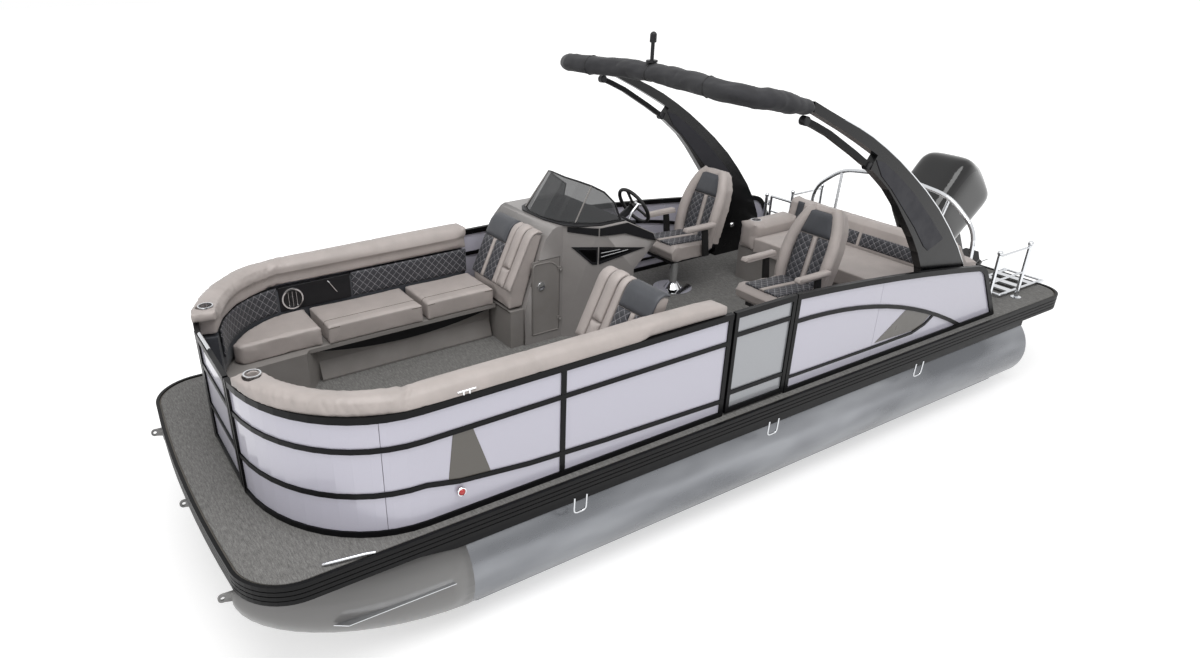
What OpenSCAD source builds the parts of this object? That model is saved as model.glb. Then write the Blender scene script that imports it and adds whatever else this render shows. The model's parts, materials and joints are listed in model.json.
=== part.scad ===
// A tritoon pontoon boat, built as an assembly of separate pieces.
// Millimetres. +X is the bow, +Y port, +Z up.
// The origin is on the underside of the centre keel, amidships.

/* [Deck] */
// Length of the deck from bow to stern
deck_len = 7400; // [6800:50:9000]
// Width over the rub rails
beam = 2590; // [2440:10:3110]
// Thickness of the deck boards
deck_t = 20; // [16:1:25]
// Thickness of the woven floor covering
floor_t = 4; // [2:1:6]
// Height of the rub rail round the deck
rub_h = 120; // [90:5:150]
// Thickness of the rub rail
rub_t = 22; // [15:1:30]

/* [Pontoons] */
// Diameter of each tube
tube_d = 635; // [530:5:762]
// Distance from the centreline to the middle of an outer tube
tube_y = 955; // [860:5:1020]
// Depth of the keel under each tube
keel_h = 25; // [15:1:40]
// Length of the upswept nose cones
nose_len = 1290; // [1000:10:1550]
// Height of the risers between the tubes and the cross-members
riser_h = 70; // [50:5:90]
// Height of the cross-members
cross_h = 75; // [60:5:100]

/* [Fence] */
// Height of the fence above the floor
fence_h = 755; // [620:5:906]
// Thickness of the fence rails
fence_t = 32; // [25:1:38]
// Width of the bow gate opening
bow_gate_w = 680; // [560:10:816]
// Width of the side gate opening
side_gate_w = 585; // [490:5:702]
// Middle of the side gate, forward of amidships
side_gate_x = 135; // [100:5:170]

/* [Seating] */
// Height of the seat cushions above the floor
seat_h = 450; // [375:5:540]
// Thickness of the seat cushions
cushion_t = 140; // [110:5:170]
// Depth of the bow lounges from the fence to their front edge
lounge_d = 605; // [500:5:730]
// Thickness of the lounge backrests
back_t = 120; // [100:5:145]

/* [Arch and motor] */
// Height of the arch crossbar above the floor
arch_h = 2130; // [1900:10:2400]
// Thickness of the arch legs
arch_t = 62; // [50:2:80]
// Angle that the outboard motor is tilted up when it is parked
motor_tilt = 38; // [30:1:45]
// Length of the outboard motor's shaft, transom top to cavitation plate
shaft_len = 635; // [508:1:762]
// Diameter of the propeller
prop_d = 380; // [330:5:410]

/* [Hidden] */

// Clearances
seat_gap = 0.3;     // between a piece and the seat it rests on
move_gap = 6;       // round a piece that moves
joint_gap = 0.5;    // between hinge knuckles

// Levels, up from the keel
tube_r = tube_d / 2;
tube_z = keel_h + tube_r;
tube_top = keel_h + tube_d;
cross_z = tube_top + riser_h;
deck_z = cross_z + cross_h;
floor_z = deck_z + deck_t + floor_t;
rail_z = floor_z + fence_h;

// Plan of the deck
half_len = deck_len / 2;
half_beam = beam / 2;
bow_camber = 75;
bow_corner = 330;
stern_corner = 230;
well_w = 820;           // notch in the stern for the motor
well_len = 640;
well_x = -half_len + well_len;

// Plan of the fence
fence_bow = half_len - 300;
fence_y = half_beam - 80;
corner_x = 790;         // half-axes of the rounded bow corners
corner_y = fence_y - 290;
fence_stern = -half_len + 1010;
rail_h = 42;
mid_rail = 30;
gate_fore = side_gate_x + side_gate_w / 2;
gate_aft = side_gate_x - side_gate_w / 2;

function unit(v) = v / norm(v);
function reverse(p) = [for (i = [len(p) - 1:-1:0]) p[i]];
function flip_y(p) = [for (q = reverse(p)) [q.x, -q.y]];
function arc(c, r, a0, a1, n) = [for (i = [0:n]) let(a = a0 + (a1 - a0) * i / n)
    [c.x + r * cos(a), c.y + r * sin(a)]];
// Tangent directions along a line of points
function headings(p) = [for (i = [0:len(p) - 1])
    i == 0 ? unit(p[1] - p[0])
    : i == len(p) - 1 ? unit(p[i] - p[i - 1])
    : unit(unit(p[i + 1] - p[i]) + unit(p[i] - p[i - 1]))];
// A flat strip of width w along a line of points
function ribbon(p, w) = let(t = headings(p), s = [for (d = t) [-d.y, d.x] * w / 2])
    concat([for (i = [0:len(p) - 1]) p[i] + s[i]], [for (i = [len(p) - 1:-1:0]) p[i] - s[i]]);
// A line of points with its corners rounded
function bend(p, r, n = 5) = [p[0], for (i = [1:len(p) - 2])
    let(a = p[i] + unit(p[i - 1] - p[i]) * r, b = p[i] + unit(p[i + 1] - p[i]) * r)
    for (k = [0:n]) let(t = k / n) (1 - t) * (1 - t) * a + 2 * t * (1 - t) * p[i] + t * t * b,
    p[len(p) - 1]];

// An outline in X and Z, as thick as from y0 to y1
module side_plate(p, y0, y1) {
    translate([0, y1, 0]) rotate([90, 0, 0]) linear_extrude(y1 - y0) polygon(p);
}
// An outline in X and Y, from z0 up to z1
module plan_plate(p, z0, z1) {
    translate([0, 0, z0]) linear_extrude(z1 - z0) polygon(p);
}
// An outline in Y and Z, from x0 to x1
module cross_plate(p, x0, x1) {
    translate([x0, 0, 0]) rotate([90, 0, 90]) linear_extrude(x1 - x0) polygon(p);
}
module box(a, b) { translate(a) cube(b - a); }
module both_sides() {
    children();
    mirror([0, 1, 0]) children();
}
// A closed mesh through n rings of the same number of points
module tube_mesh(points, n, sides) {
    polyhedron(points, concat(
        [[for (j = [sides - 1:-1:0]) j]],
        [for (i = [0:n - 2]) for (j = [0:sides - 1]) let(k = (j + 1) % sides)
            [i * sides + k, (i + 1) * sides + k, (i + 1) * sides + j, i * sides + j]],
        [[for (j = [0:sides - 1]) (n - 1) * sides + j]]), convexity = 6);
}
// An oval bar swept along a line of points
module sweep(p, w, h, sides = 12, ref = [0, 0, 1], taper = []) {
    t = headings(p);
    n = len(p);
    rings = [for (i = [0:n - 1])
        let(s = unit(cross(t[i], ref)), u = cross(s, t[i]), k = len(taper) == n ? taper[i] : 1)
        for (j = [0:sides - 1]) let(a = 360 * j / sides)
        p[i] + s * w / 2 * k * cos(a) + u * h / 2 * k * sin(a)];
    tube_mesh(rings, n, sides);
}
module bar(p, d, ref = [0, 0, 1], sides = 12) { sweep(p, d, d, sides, ref); }
module rod(a, b, d) {
    v = b - a;
    translate(a) rotate([0, acos(v.z / norm(v)), atan2(v.y, v.x)]) cylinder(h = norm(v), d = d);
}

/* Hull */
tube_stern = -half_len + 420;
nose_x = half_len - 1320;
pod_x = -half_len + 230;        // aft face of the transom
centre_stern = pod_x + 560;
tube_sides = 96;
eye_hole = 24;
eye_t = 12;
strake = 40;
nose_steps = 14;
nose_sides = 32;

module pontoon_tube(x0, eye = true) {
    translate([x0, 0, tube_z]) rotate([0, 90, 0])
        cylinder(h = nose_x - x0, r = tube_r, $fn = tube_sides);
    keel_w = 30;
    box([x0 + 150, -keel_w / 2, 0], [nose_x, keel_w / 2, keel_h + 3]);
    // Lifting strakes low on both sides
    for (a = [-38, 38])
        translate([0, 0, tube_z]) rotate([a, 0, 0])
            side_plate([[x0 + 300, -tube_r - 2], [x0 + 300, -tube_r + 8],
                [nose_x - 20, -tube_r + 8], [nose_x - 60, -tube_r - 2]], -strake, strake);
    // Tie-down eye on the stern cap
    if (eye) difference() {
        side_plate([[x0 - 60, tube_z + 120], [x0 - 60, tube_z + 180], [x0 - 40, tube_z + 200],
            [x0 + 2, tube_z + 210], [x0 + 2, tube_z + 90], [x0 - 40, tube_z + 100]],
            -eye_t / 2, eye_t / 2);
        translate([x0 - 32, -eye_t, tube_z + 150]) rotate([-90, 0, 0])
            cylinder(h = 2 * eye_t, d = eye_hole);
    }
}
module port_pontoon() {
    color("silver") translate([0, tube_y, 0]) pontoon_tube(tube_stern);
}
module centre_pontoon() {
    color("silver") pontoon_tube(centre_stern, false);
}
module starboard_pontoon() {
    color("silver") translate([0, -tube_y, 0]) pontoon_tube(tube_stern);
}

// A nose cone's sections are rings that narrow to a point at the top
function nose_ring(t) = let(
        e = sqrt(1 - t * t),
        low = keel_h + (tube_d - 30) * (1 - e),
        high = tube_top,
        w = tube_r * pow(1 - t * t, 0.72) + 5,
        sharp = 0.55 * t)
    [for (j = [0:nose_sides - 1]) let(a = 360 * j / nose_sides, c = cos(a))
        [nose_x + nose_len * t,
         w * sin(a) * (c < 0 ? 1 - sharp * c * c : 1),
         (high + low) / 2 + (high - low) / 2 * c]];
module nose_cone() {
    rings = [for (i = [0:nose_steps]) each nose_ring(sin(90 * i / nose_steps) * 0.995)];
    tube_mesh(rings, nose_steps + 1, nose_sides);
}
eye_x = nose_x + nose_len + 38;
eye_z = tube_top - 20;
module nose_eye() {
    difference() {
        side_plate(concat([[eye_x - 110, eye_z + 20]], [[eye_x - 160, eye_z - 60],
            [eye_x - 60, eye_z - 42]], arc([eye_x, eye_z], 26, -100, 90, 8)),
            -eye_t / 2, eye_t / 2);
        translate([eye_x, -eye_t, eye_z]) rotate([-90, 0, 0])
            cylinder(h = 2 * eye_t, d = eye_hole);
    }
}
module nose_cones() {
    color("dimgray") for (y = [-tube_y, 0, tube_y]) translate([0, y, 0]) union() {
        nose_cone();
        nose_eye();
    }
}
// Bright spray deflectors on the outer noses
module splash_fins() {
    fin_z = tube_z + 60;
    color("lightgray") both_sides() difference() {
        translate([nose_x + 130, tube_y + tube_r * 0.9, fin_z]) rotate([24, 0, 0])
            linear_extrude(4)
                polygon([[0, 4], [0, 70], [640, 34], [700, -60], [640, -70], [300, -30]]);
        translate([0, tube_y, 0]) nose_cone();
    }
}
module tube_risers() {
    riser_w = 150;
    color("gray") for (y = [-tube_y, 0, tube_y]) translate([0, y, 0])
        difference() {
            box([(y == 0 ? centre_stern : tube_stern) + 20, -riser_w / 2, tube_top - 14],
                [nose_x - 20, riser_w / 2, cross_z]);
            translate([-half_len, 0, tube_z]) rotate([0, 90, 0])
                cylinder(h = deck_len, r = tube_r + seat_gap, $fn = tube_sides);
        }
}
cross_pitch = 410;
cross_count = floor((deck_len - 700) / cross_pitch);
cross_w = 60;
module cross_members() {
    reach = half_beam - rub_t - 4;
    color("gray") for (i = [0:cross_count]) let(x = well_x + 30 + i * cross_pitch)
        if (x < nose_x + 900)
            channel(x, -reach, reach);
    // Short members under the two swim decks
    color("gray") both_sides() for (x = [-half_len + 90, -half_len + 330])
        channel(x, well_w / 2 + rub_t + 4, reach - 62);
}
module channel(x, y0, y1) {
    wall = 6;
    difference() {
        box([x, y0, cross_z], [x + cross_w, y1, deck_z]);
        box([x + wall, y0 - 1, cross_z + wall], [x + cross_w + 1, y1 + 1, deck_z - wall]);
    }
}

/* Deck */
function bow_line(y) = half_len - bow_camber * pow(y / half_beam, 2);
// Half of the deck's outline, from the bow to the motor well, set in by d
function deck_half(d) = let(yc = half_beam - bow_corner, xc = bow_line(yc) - bow_corner)
    concat([for (i = [1:6]) [bow_line(yc * i / 6) - d, yc * i / 6]],
        arc([xc, yc], bow_corner - d, 7.5, 90, 11),
        arc([-half_len + stern_corner, half_beam - stern_corner], stern_corner - d, 90, 180, 10),
        [[-half_len + d, well_w / 2 + d], [well_x + d, well_w / 2 + d]]);
function deck_line(d) = concat(deck_half(d), flip_y(deck_half(d)));

module deck() {
    color("gainsboro") plan_plate(deck_line(rub_t), deck_z, deck_z + deck_t);
}
module vinyl_floor() {
    color("gray") plan_plate(deck_line(rub_t + 12), deck_z + deck_t, floor_z);
}
module rub_rail() {
    groove = 6;
    low = floor_z + 6 - rub_h;
    color([0.08, 0.08, 0.09]) difference() {
        plan_plate(deck_line(0), low, floor_z + 6);
        plan_plate(deck_line(rub_t), low - 1, floor_z + 7);
        // Three grooves run along the outer face
        for (k = [1:3]) let(z = low + k * rub_h / 4) difference() {
            plan_plate(deck_line(-10), z - 3, z + 3);
            plan_plate(deck_line(groove), z - 4, z + 4);
        }
    }
}
module side_skirts() {
    skirt_t = 4;
    y = half_beam - rub_t - 80;
    low = tube_top - 76;
    color([0.1, 0.1, 0.1]) both_sides()
        side_plate([[tube_stern + 30, low], [nose_x + 60, low], [nose_x + 930, cross_z - seat_gap],
            [tube_stern + 30, cross_z - seat_gap]], y, y + skirt_t);
}
// The pod behind the centre tube carries the motor's transom
transom_t = 50;
transom_w = 560;
transom_top = deck_z + 5;
module motor_pod() {
    pod_w = 500;
    pod_top = floor_z + 6 - rub_h - seat_gap;
    pod_low = keel_h + 120;
    color("silver") {
        difference() {
            side_plate([[centre_stern, pod_low - 30], [centre_stern, pod_top],
                [pod_x + transom_t, pod_top], [pod_x + transom_t, pod_low + 40]],
                -pod_w / 2, pod_w / 2);
            side_plate([[centre_stern + 1, pod_low], [centre_stern + 1, cross_z - 40],
                [pod_x + transom_t + 6, cross_z - 40], [pod_x + transom_t + 6, pod_low + 70]],
                -pod_w / 2 + 6, pod_w / 2 - 6);
        }
        cross_plate([[-transom_w / 2, pod_low + 160], [-pod_w / 2 + 60, pod_low + 40],
            [pod_w / 2 - 60, pod_low + 40], [transom_w / 2, pod_low + 160],
            [transom_w / 2, transom_top], [-transom_w / 2, transom_top]],
            pod_x, pod_x + transom_t);
        // Two beams tie the pod to the deck's cross-members
        for (y = [-pod_w / 2, pod_w / 2 - 40])
            box([well_x + rub_t + 4, y, pod_top], [centre_stern + 300, y + 40, cross_z]);
    }
}

/* Fence */
// The outer face of one side, from the bow gate round the corner, set in by d
function fence_line(d, stern) = concat([[fence_bow - d, bow_gate_w / 2]],
    [for (a = [6:7:90]) [fence_bow - corner_x + (corner_x - d) * cos(a),
        fence_y - corner_y + (corner_y - d) * sin(a)]],
    [[fence_bow - corner_x, fence_y - d], [stern, fence_y - d]]);
module fence_band(d0, d1, z0, z1, stern) {
    plan_plate(concat(fence_line(d0, stern), reverse(fence_line(d1, stern))), z0, z1);
}
straight_x = fence_bow - corner_x;
base_rail = 36;
high_mid = floor_z + 548;
low_mid = floor_z + 268;
low_mid_aft = floor_z + 118;
fall = fence_h * 0.33;          // how far the top rail drops to the stern
aft_len = gate_aft - fence_stern;
aft_turn = fence_stern + 350;
function top_line(x) = let(t = (gate_aft - x) / (gate_aft - aft_turn))
    rail_z - rail_h / 2 - fall * (0.55 * t + 0.45 * t * t);
function arc_line(t) = [gate_aft - t * (aft_len - 470),
    high_mid + (floor_z + 14 - high_mid) * pow(t, 2.1)];
function aft_top() = concat([for (i = [0:5]) let(x = gate_aft - i / 6 * (gate_aft - aft_turn))
    [x, top_line(x)]], bend([[aft_turn + 60, top_line(aft_turn + 60)],
        [aft_turn - 40, top_line(aft_turn) - 12],
        [fence_stern + rail_h / 2, floor_z]], 85));
low_line = concat([[gate_aft - 2, low_mid_aft], [gate_aft - 900, floor_z + 110],
    [gate_aft - 1400, floor_z + 112]], [[arc_line(0.75).x, floor_z + 150], arc_line(0.8)]);
// Rising rail between the corner and the side gate
front_low = [[straight_x + 2, low_mid], [straight_x - 200, floor_z + 222],
    [straight_x - 650, floor_z + 174], [straight_x - 1200, floor_z + 146],
    [gate_fore + 2, low_mid_aft]];
post_w = 34;

module fence_frame(gate) {
    y0 = fence_y - fence_t;
    fore_end = gate ? gate_fore : gate_aft;
    // Forward part, round the bow corner
    fence_band(0, fence_t, rail_z - rail_h, rail_z, fore_end);
    fence_band(0, fence_t, floor_z, floor_z + base_rail, fore_end);
    fence_band(2, fence_t - 2, high_mid - mid_rail / 2, high_mid + mid_rail / 2, fore_end);
    fence_band(2, fence_t - 2, low_mid - mid_rail / 2, low_mid + mid_rail / 2, straight_x);
    side_plate(ribbon(front_low, mid_rail), y0 + 2, fence_y - 2);
    box([fence_bow - fence_t, bow_gate_w / 2, floor_z],
        [fence_bow, bow_gate_w / 2 + post_w, rail_z]);
    for (x = [gate_fore, straight_x - 900])
        box([x, y0, floor_z], [x + post_w, fence_y - 3, rail_z]);
    if (!gate)
        side_plate(ribbon([[gate_fore, low_mid_aft], [gate_aft, low_mid_aft]], mid_rail),
            y0 + 2, fence_y - 2);
    // Aft part, falling to the stern
    box([gate_aft - post_w, y0, floor_z], [gate_aft, fence_y, rail_z]);
    box([fence_stern + 20, y0, floor_z], [gate_aft, fence_y, floor_z + base_rail]);
    difference() {
        union() {
            side_plate(ribbon(aft_top(), rail_h), y0, fence_y);
            side_plate(ribbon([for (i = [0:12]) arc_line(i / 12)], mid_rail),
                y0 + 2, fence_y - 2);
        }
        box([fence_stern - 200, y0 - 1, floor_z - 90], [gate_aft, fence_y + 1, floor_z]);
    }
    side_plate(ribbon(low_line, mid_rail * 0.7), y0 + 2, fence_y - 2);
}
fin_points = [[gate_aft - 960, floor_z + 140], [gate_aft - 1280, arc_line(0.62).y - 8],
    [arc_line(0.78).x, arc_line(0.78).y - 4], [gate_aft - 1490, floor_z + 128]];
wedge_points = [[straight_x - 170, high_mid - 10], [straight_x - 130, floor_z + 236],
    [straight_x - 400, floor_z + 204], [straight_x - 290, high_mid - 10]];
module accent_shapes(y0, y1) {
    side_plate(fin_points, y0, y1);
    side_plate(wedge_points, y0, y1);
}
seam_slit = 3;
seam_fore = straight_x + 224;   // joints between the skins of one side
seam_aft = gate_aft - 930;
skin_in = 12;       // how far the skins are set back in the frame
skin_t = 6;
module fence_skins(gate) {
    y1 = fence_y - skin_in;
    y0 = y1 - skin_t;
    fore_end = gate ? gate_fore : gate_aft;
    difference() {
        union() {
            fence_band(skin_in, skin_in + skin_t, floor_z + 10, rail_z - 10, fore_end);
            side_plate(concat(aft_top(), [[gate_aft, floor_z + 10]]), y0, y1);
        }
        fence_frame(gate);
        accent_shapes(y0 - 1, y1 + 1);
        for (x = [seam_fore, seam_aft])
            box([x, y0 - 60, floor_z], [x + seam_slit, y1 + 1, rail_z]);
    }
}
hinge_d = 14;
knuckle_h = 26;
strap_t = 6;
bow_hinge = [fence_bow - fence_t - 5, bow_gate_w / 2 - 10];
side_hinge = [gate_fore - 10, fence_y - fence_t - 5];
hinge_levels = [floor_z + 110, floor_z + fence_h - 160];
// The fixed knuckles of a gate's two hinges
module post_knuckles(c, dir) {
    for (z = hinge_levels) {
        translate([c.x, c.y, z]) cylinder(h = knuckle_h, d = hinge_d);
        if (dir == 0)
            box([c.x - strap_t / 2, c.y, z], [c.x + strap_t / 2 + 3, c.y + 12, z + knuckle_h]);
        else
            box([c.x, c.y - strap_t / 2, z], [c.x + 12, c.y + strap_t / 2 + 3, z + knuckle_h]);
    }
}
module leaf_knuckles(c, dir) {
    for (z = hinge_levels) let(z0 = z + knuckle_h + joint_gap) {
        translate([c.x, c.y, z0]) cylinder(h = knuckle_h, d = hinge_d);
        if (dir == 0)
            box([c.x - strap_t / 2, c.y - 14, z0], [c.x + 9, c.y, z0 + knuckle_h]);
        else
            box([c.x - 14, c.y - strap_t / 2, z0], [c.x, c.y + 9, z0 + knuckle_h]);
    }
}
module port_fence() {
    color([0.08, 0.08, 0.09]) {
        fence_frame(true);
        post_knuckles(bow_hinge, 0);
        post_knuckles(side_hinge, 1);
    }
}
module port_panels() { color([0.86, 0.86, 0.9]) fence_skins(true); }
module starboard_fence() {
    color([0.08, 0.08, 0.09]) mirror([0, 1, 0]) fence_frame(false);
}
module starboard_panels() { color([0.86, 0.86, 0.9]) mirror([0, 1, 0]) fence_skins(false); }
module side_accents() {
    y = fence_y - skin_in;
    color([0.5, 0.48, 0.44]) {
        difference() {
            accent_shapes(y - skin_t, y + 3);
            fence_frame(true);
        }
        mirror([0, 1, 0]) difference() {
            accent_shapes(y - skin_t, y + 3);
            fence_frame(false);
        }
    }
}

/* Gates */
// A leaf lies in the plane of the fence: u across from its hinge side, framed and skinned
module leaf_frame(w, h, mids) {
    box([0, 0, 0], [mid_rail, fence_t, h]);
    box([w - mid_rail, 0, 0], [w, fence_t, h]);
    box([0, 0, 0], [w, fence_t, base_rail]);
    box([0, 0, h - rail_h], [w, fence_t, h]);
    for (m = mids) box([0, 2, m - mid_rail / 2], [w, fence_t - 2, m + mid_rail / 2]);
}
module leaf_skins(w, h, mids) {
    difference() {
        box([10, skin_in, 10], [w - 10, skin_in + skin_t, h - 10]);
        leaf_frame(w, h, mids);
    }
}
leaf_low = 14;
leaf_h = fence_h - leaf_low;
bow_leaf_w = bow_gate_w - 20 - 9;
side_leaf_w = side_gate_w - 20 - 9;
bow_mids = [low_mid - floor_z - leaf_low, high_mid - floor_z - leaf_low];
side_mids = [150, leaf_h - 165];
module at_bow_gate() {
    translate([fence_bow, bow_hinge.y - 10, floor_z + leaf_low]) rotate([0, 0, -90])
        mirror([0, 1, 0]) children();
}
module at_side_gate() {
    translate([side_hinge.x - 10, fence_y, floor_z + leaf_low]) rotate([0, 0, 180]) children();
}
module bow_gate() {
    color([0.08, 0.08, 0.09]) {
        at_bow_gate() leaf_frame(bow_leaf_w, leaf_h, bow_mids);
        leaf_knuckles(bow_hinge, 0);
    }
}
module gate_panels_bow() {
    color([0.86, 0.86, 0.9]) at_bow_gate() leaf_skins(bow_leaf_w, leaf_h, bow_mids);
}
module side_gate() {
    color([0.08, 0.08, 0.09]) {
        at_side_gate() leaf_frame(side_leaf_w, leaf_h, side_mids);
        leaf_knuckles(side_hinge, 1);
    }
}
module gate_panels_side() {
    color([0.8, 0.81, 0.83]) at_side_gate() leaf_skins(side_leaf_w, leaf_h, side_mids);
}
// Tubular gate between the starboard fence and the stern lounge
pipe = 25;
lounge_starboard = -600;
stern_gate = [fence_stern + 290, -(fence_y - 120)];     // its hinge line
stern_gate_top = floor_z + 520;
stern_gate_low = floor_z + 70;
stern_levels = [floor_z + 120, floor_z + 420];
module pipe_loop(p, d) {
    n = len(p);
    for (i = [0:n - 1]) {
        rod(p[i], p[(i + 1) % n], d);
        translate(p[i]) sphere(d = d, $fn = 24);
    }
}
module stern_gate() {
    x = stern_gate.x;
    y0 = stern_gate.y + 26;
    y1 = lounge_starboard - 20;
    color("silver") {
        pipe_loop([[x, y0, stern_gate_low], [x, y1, stern_gate_low],
            [x, y1, stern_gate_top], [x, y0, stern_gate_top]], pipe);
        for (z = [1:2]) let(h = stern_gate_low + z * (stern_gate_top - stern_gate_low) / 3)
            rod([x, y0, h], [x, y1, h], pipe * 0.7);
        for (z = stern_levels) {
            translate([x, stern_gate.y, z + knuckle_h + joint_gap])
                cylinder(h = knuckle_h, d = hinge_d);
            rod([x, stern_gate.y, z + knuckle_h * 1.5], [x, y0, z + knuckle_h * 1.5], 12);
        }
    }
}

/* Bow seating */
seat_z = floor_z + seat_h;
board_z = seat_z - cushion_t - seat_gap;
front_y = fence_y - lounge_d;
kick_y = front_y + 125;
inner_d = fence_t + 2;
face_d = inner_d + back_t;      // front face of the backrests
seat_seams = [straight_x - 110, straight_x - 890];
port_seat_end = 1110;
starboard_seat_end = 1110;
bolster_h = 82;
bolster_w = 172;
// The rounded corner alone, set in by d, from angle a0 to a1
function corner_arc(d, a0, a1, n) = [for (i = [0:n]) let(a = a0 + (a1 - a0) * i / n)
    [fence_bow - corner_x + (corner_x - d) * cos(a), fence_y - corner_y + (corner_y - d) * sin(a)]];
module lounge_base(end) {
    wall = 24;
    corner_front = [[straight_x - 60, kick_y], [straight_x + 60, front_y - 30],
        [straight_x + 450, front_y - 50], [fence_bow - 95, bow_gate_w / 2 + 44]];
    outline = concat([[end, kick_y]], corner_front, corner_arc(inner_d, 8, 90, 10),
        [[end, fence_y - inner_d]]);
    color([0.62, 0.59, 0.55]) difference() {
        union() {
            plan_plate(outline, floor_z, board_z);
            // The board under the cushions overhangs the toe space
            plan_plate([[end, front_y + 22], [straight_x - 60, front_y + 22],
                [straight_x + 60, front_y + 22], [straight_x + 60, fence_y - 200],
                [end, fence_y - 200]], board_z - 30, board_z);
        }
        // Stowage under each lid
        for (s = [[end, seat_seams[1]], [seat_seams[1], seat_seams[0]]])
            box([s[0] + 40, kick_y + wall, floor_z + 20],
                [s[1] - 40, fence_y - face_d - 20, board_z + 1]);
    }
}
module port_lounge_base() { lounge_base(port_seat_end); }
module starboard_lounge_base() { mirror([0, 1, 0]) lounge_base(starboard_seat_end); }

cup_r = 43;
cup_depth = 72;
cup_wall = 2;
cup_at = corner_arc(3 + bolster_w / 2, 17, 18, 1)[0];
module lounge_back(end) {
    // Backrest against the fence, and the bolster that caps the rail
    difference() {
        lounge_pads(end);
        translate([cup_at.x, cup_at.y, rail_z + bolster_h - cup_depth])
            cylinder(h = cup_depth + 1, r = cup_r + seat_gap);
    }
}
module lounge_pads(end) {
    plan_plate(concat(corner_arc(inner_d, 14, 90, 12), [[end, fence_y - inner_d],
        [end, fence_y - face_d]], corner_arc(face_d, 90, 14, 12)), board_z + seat_gap, rail_z + 1);
    plan_plate(concat(corner_arc(3, 10, 90, 12), [[end, fence_y - 3], [end, fence_y - 3 - bolster_w]],
        corner_arc(3 + bolster_w, 90, 10, 12)), rail_z + seat_gap, rail_z + bolster_h);
}
port_bolster_end = 470;
module port_lounge_back() {
    color([0.66, 0.62, 0.58]) {
        lounge_back(port_seat_end + 2);
        plan_plate([[port_seat_end + 4, fence_y - 3], [port_bolster_end, fence_y - 3],
            [port_bolster_end, fence_y - 3 - bolster_w],
            [port_seat_end + 4, fence_y - 3 - bolster_w]],
            rail_z + seat_gap, rail_z + bolster_h);
    }
}
module starboard_lounge_back() {
    color([0.66, 0.62, 0.58]) mirror([0, 1, 0]) lounge_back(starboard_seat_end + 2);
}
// A seat cushion between two stations, from the backrest to the front edge
lid_back = 7;
module seat_pad(x0, x1) {
    box([x0 + 3, front_y, board_z + seat_gap], [x1 - 3, fence_y - face_d - lid_back, seat_z]);
}
module corner_pad() {
    plan_plate(concat([[seat_seams[0] + 3, front_y + 30], [straight_x + 430, front_y + 10],
        [straight_x + 500, front_y + 22]], corner_arc(face_d + 2, 32, 90, 8),
        [[seat_seams[0] + 3, fence_y - face_d - 2]]), board_z + seat_gap, seat_z);
}
module corner_cushions() { color([0.66, 0.62, 0.58]) both_sides() corner_pad(); }
module port_seat_fore() { color([0.66, 0.62, 0.58]) seat_pad(seat_seams[1], seat_seams[0]); }
module port_seat_aft() { color([0.66, 0.62, 0.58]) seat_pad(port_seat_end, seat_seams[1]); }
module starboard_seat_fore() {
    color([0.66, 0.62, 0.58]) mirror([0, 1, 0]) seat_pad(seat_seams[1], seat_seams[0]);
}
module starboard_seat_aft() {
    color([0.66, 0.62, 0.58]) mirror([0, 1, 0]) seat_pad(starboard_seat_end, seat_seams[1]);
}
// Reclined backs that end the two lounges
chaise_h = 905;
chaise_t = 130;
chaise_rake = 190;
module chaise(x, y0, y1) {
    side_plate([[x, board_z + 1], [x - 12, seat_z + 20], [x - chaise_rake, floor_z + chaise_h - 60],
        [x - chaise_rake - 30, floor_z + chaise_h - 12], [x - chaise_rake - 75, floor_z + chaise_h],
        [x - chaise_rake - chaise_t, floor_z + chaise_h - 25], [x - chaise_t, board_z + 1]], y0, y1);
}
chaise_side = fence_y - bolster_w - 6;
// A moulded foot stands under each of them
module chaise_unit(x, foot_x0) {
    y0 = front_y - 190;
    color([0.62, 0.59, 0.55]) {
        chaise(x - 2, y0, chaise_side);
        box([foot_x0, y0, floor_z], [x - 12, fence_y - inner_d - 20, board_z + 1]);
    }
}
module port_chaise_back() { chaise_unit(port_seat_end, port_seat_end - chaise_t - 22); }
module starboard_chaise_back() {
    mirror([0, 1, 0]) chaise_unit(starboard_seat_end, starboard_seat_end - chaise_t - 2);
}

/* Helm */
console_fore = starboard_seat_end - chaise_t - 2 - seat_gap;
helm_x = starboard_seat_end - 1190;      // the helm follows the end of that lounge
console_aft = helm_x + 150;
console_in = -215;      // inboard face
cabinet_in = -400;      // inboard face of the cabinet, forward of the console
console_out = -(fence_y - inner_d - 4);
console_top = floor_z + 930;
dash_fore = helm_x + 770;
dash_aft = helm_x + 240;
shell = 18;
door_x = [console_fore - 320, console_fore - 60];
door_z = [floor_z + 70, floor_z + 690];
function console_side(d) = [[console_fore - d, floor_z + d], [console_fore - d, board_z],
    [console_fore - chaise_rake + 8 - d, floor_z + chaise_h - 60],
    [console_fore - chaise_rake - 60, floor_z + chaise_h + 10 - d],
    [dash_fore, console_top - d], [dash_aft, console_top - d],
    [helm_x - 30 + d, floor_z + 790 - d], [helm_x - 62 + d * 2, floor_z + 715],
    [helm_x + 60 + d, floor_z + 600 + d], [console_aft + d, floor_z + 520],
    [console_aft + d, floor_z + d]];
wheel_c = [helm_x - 150, -620, floor_z + 890];
wheel_tilt = 120;
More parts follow.
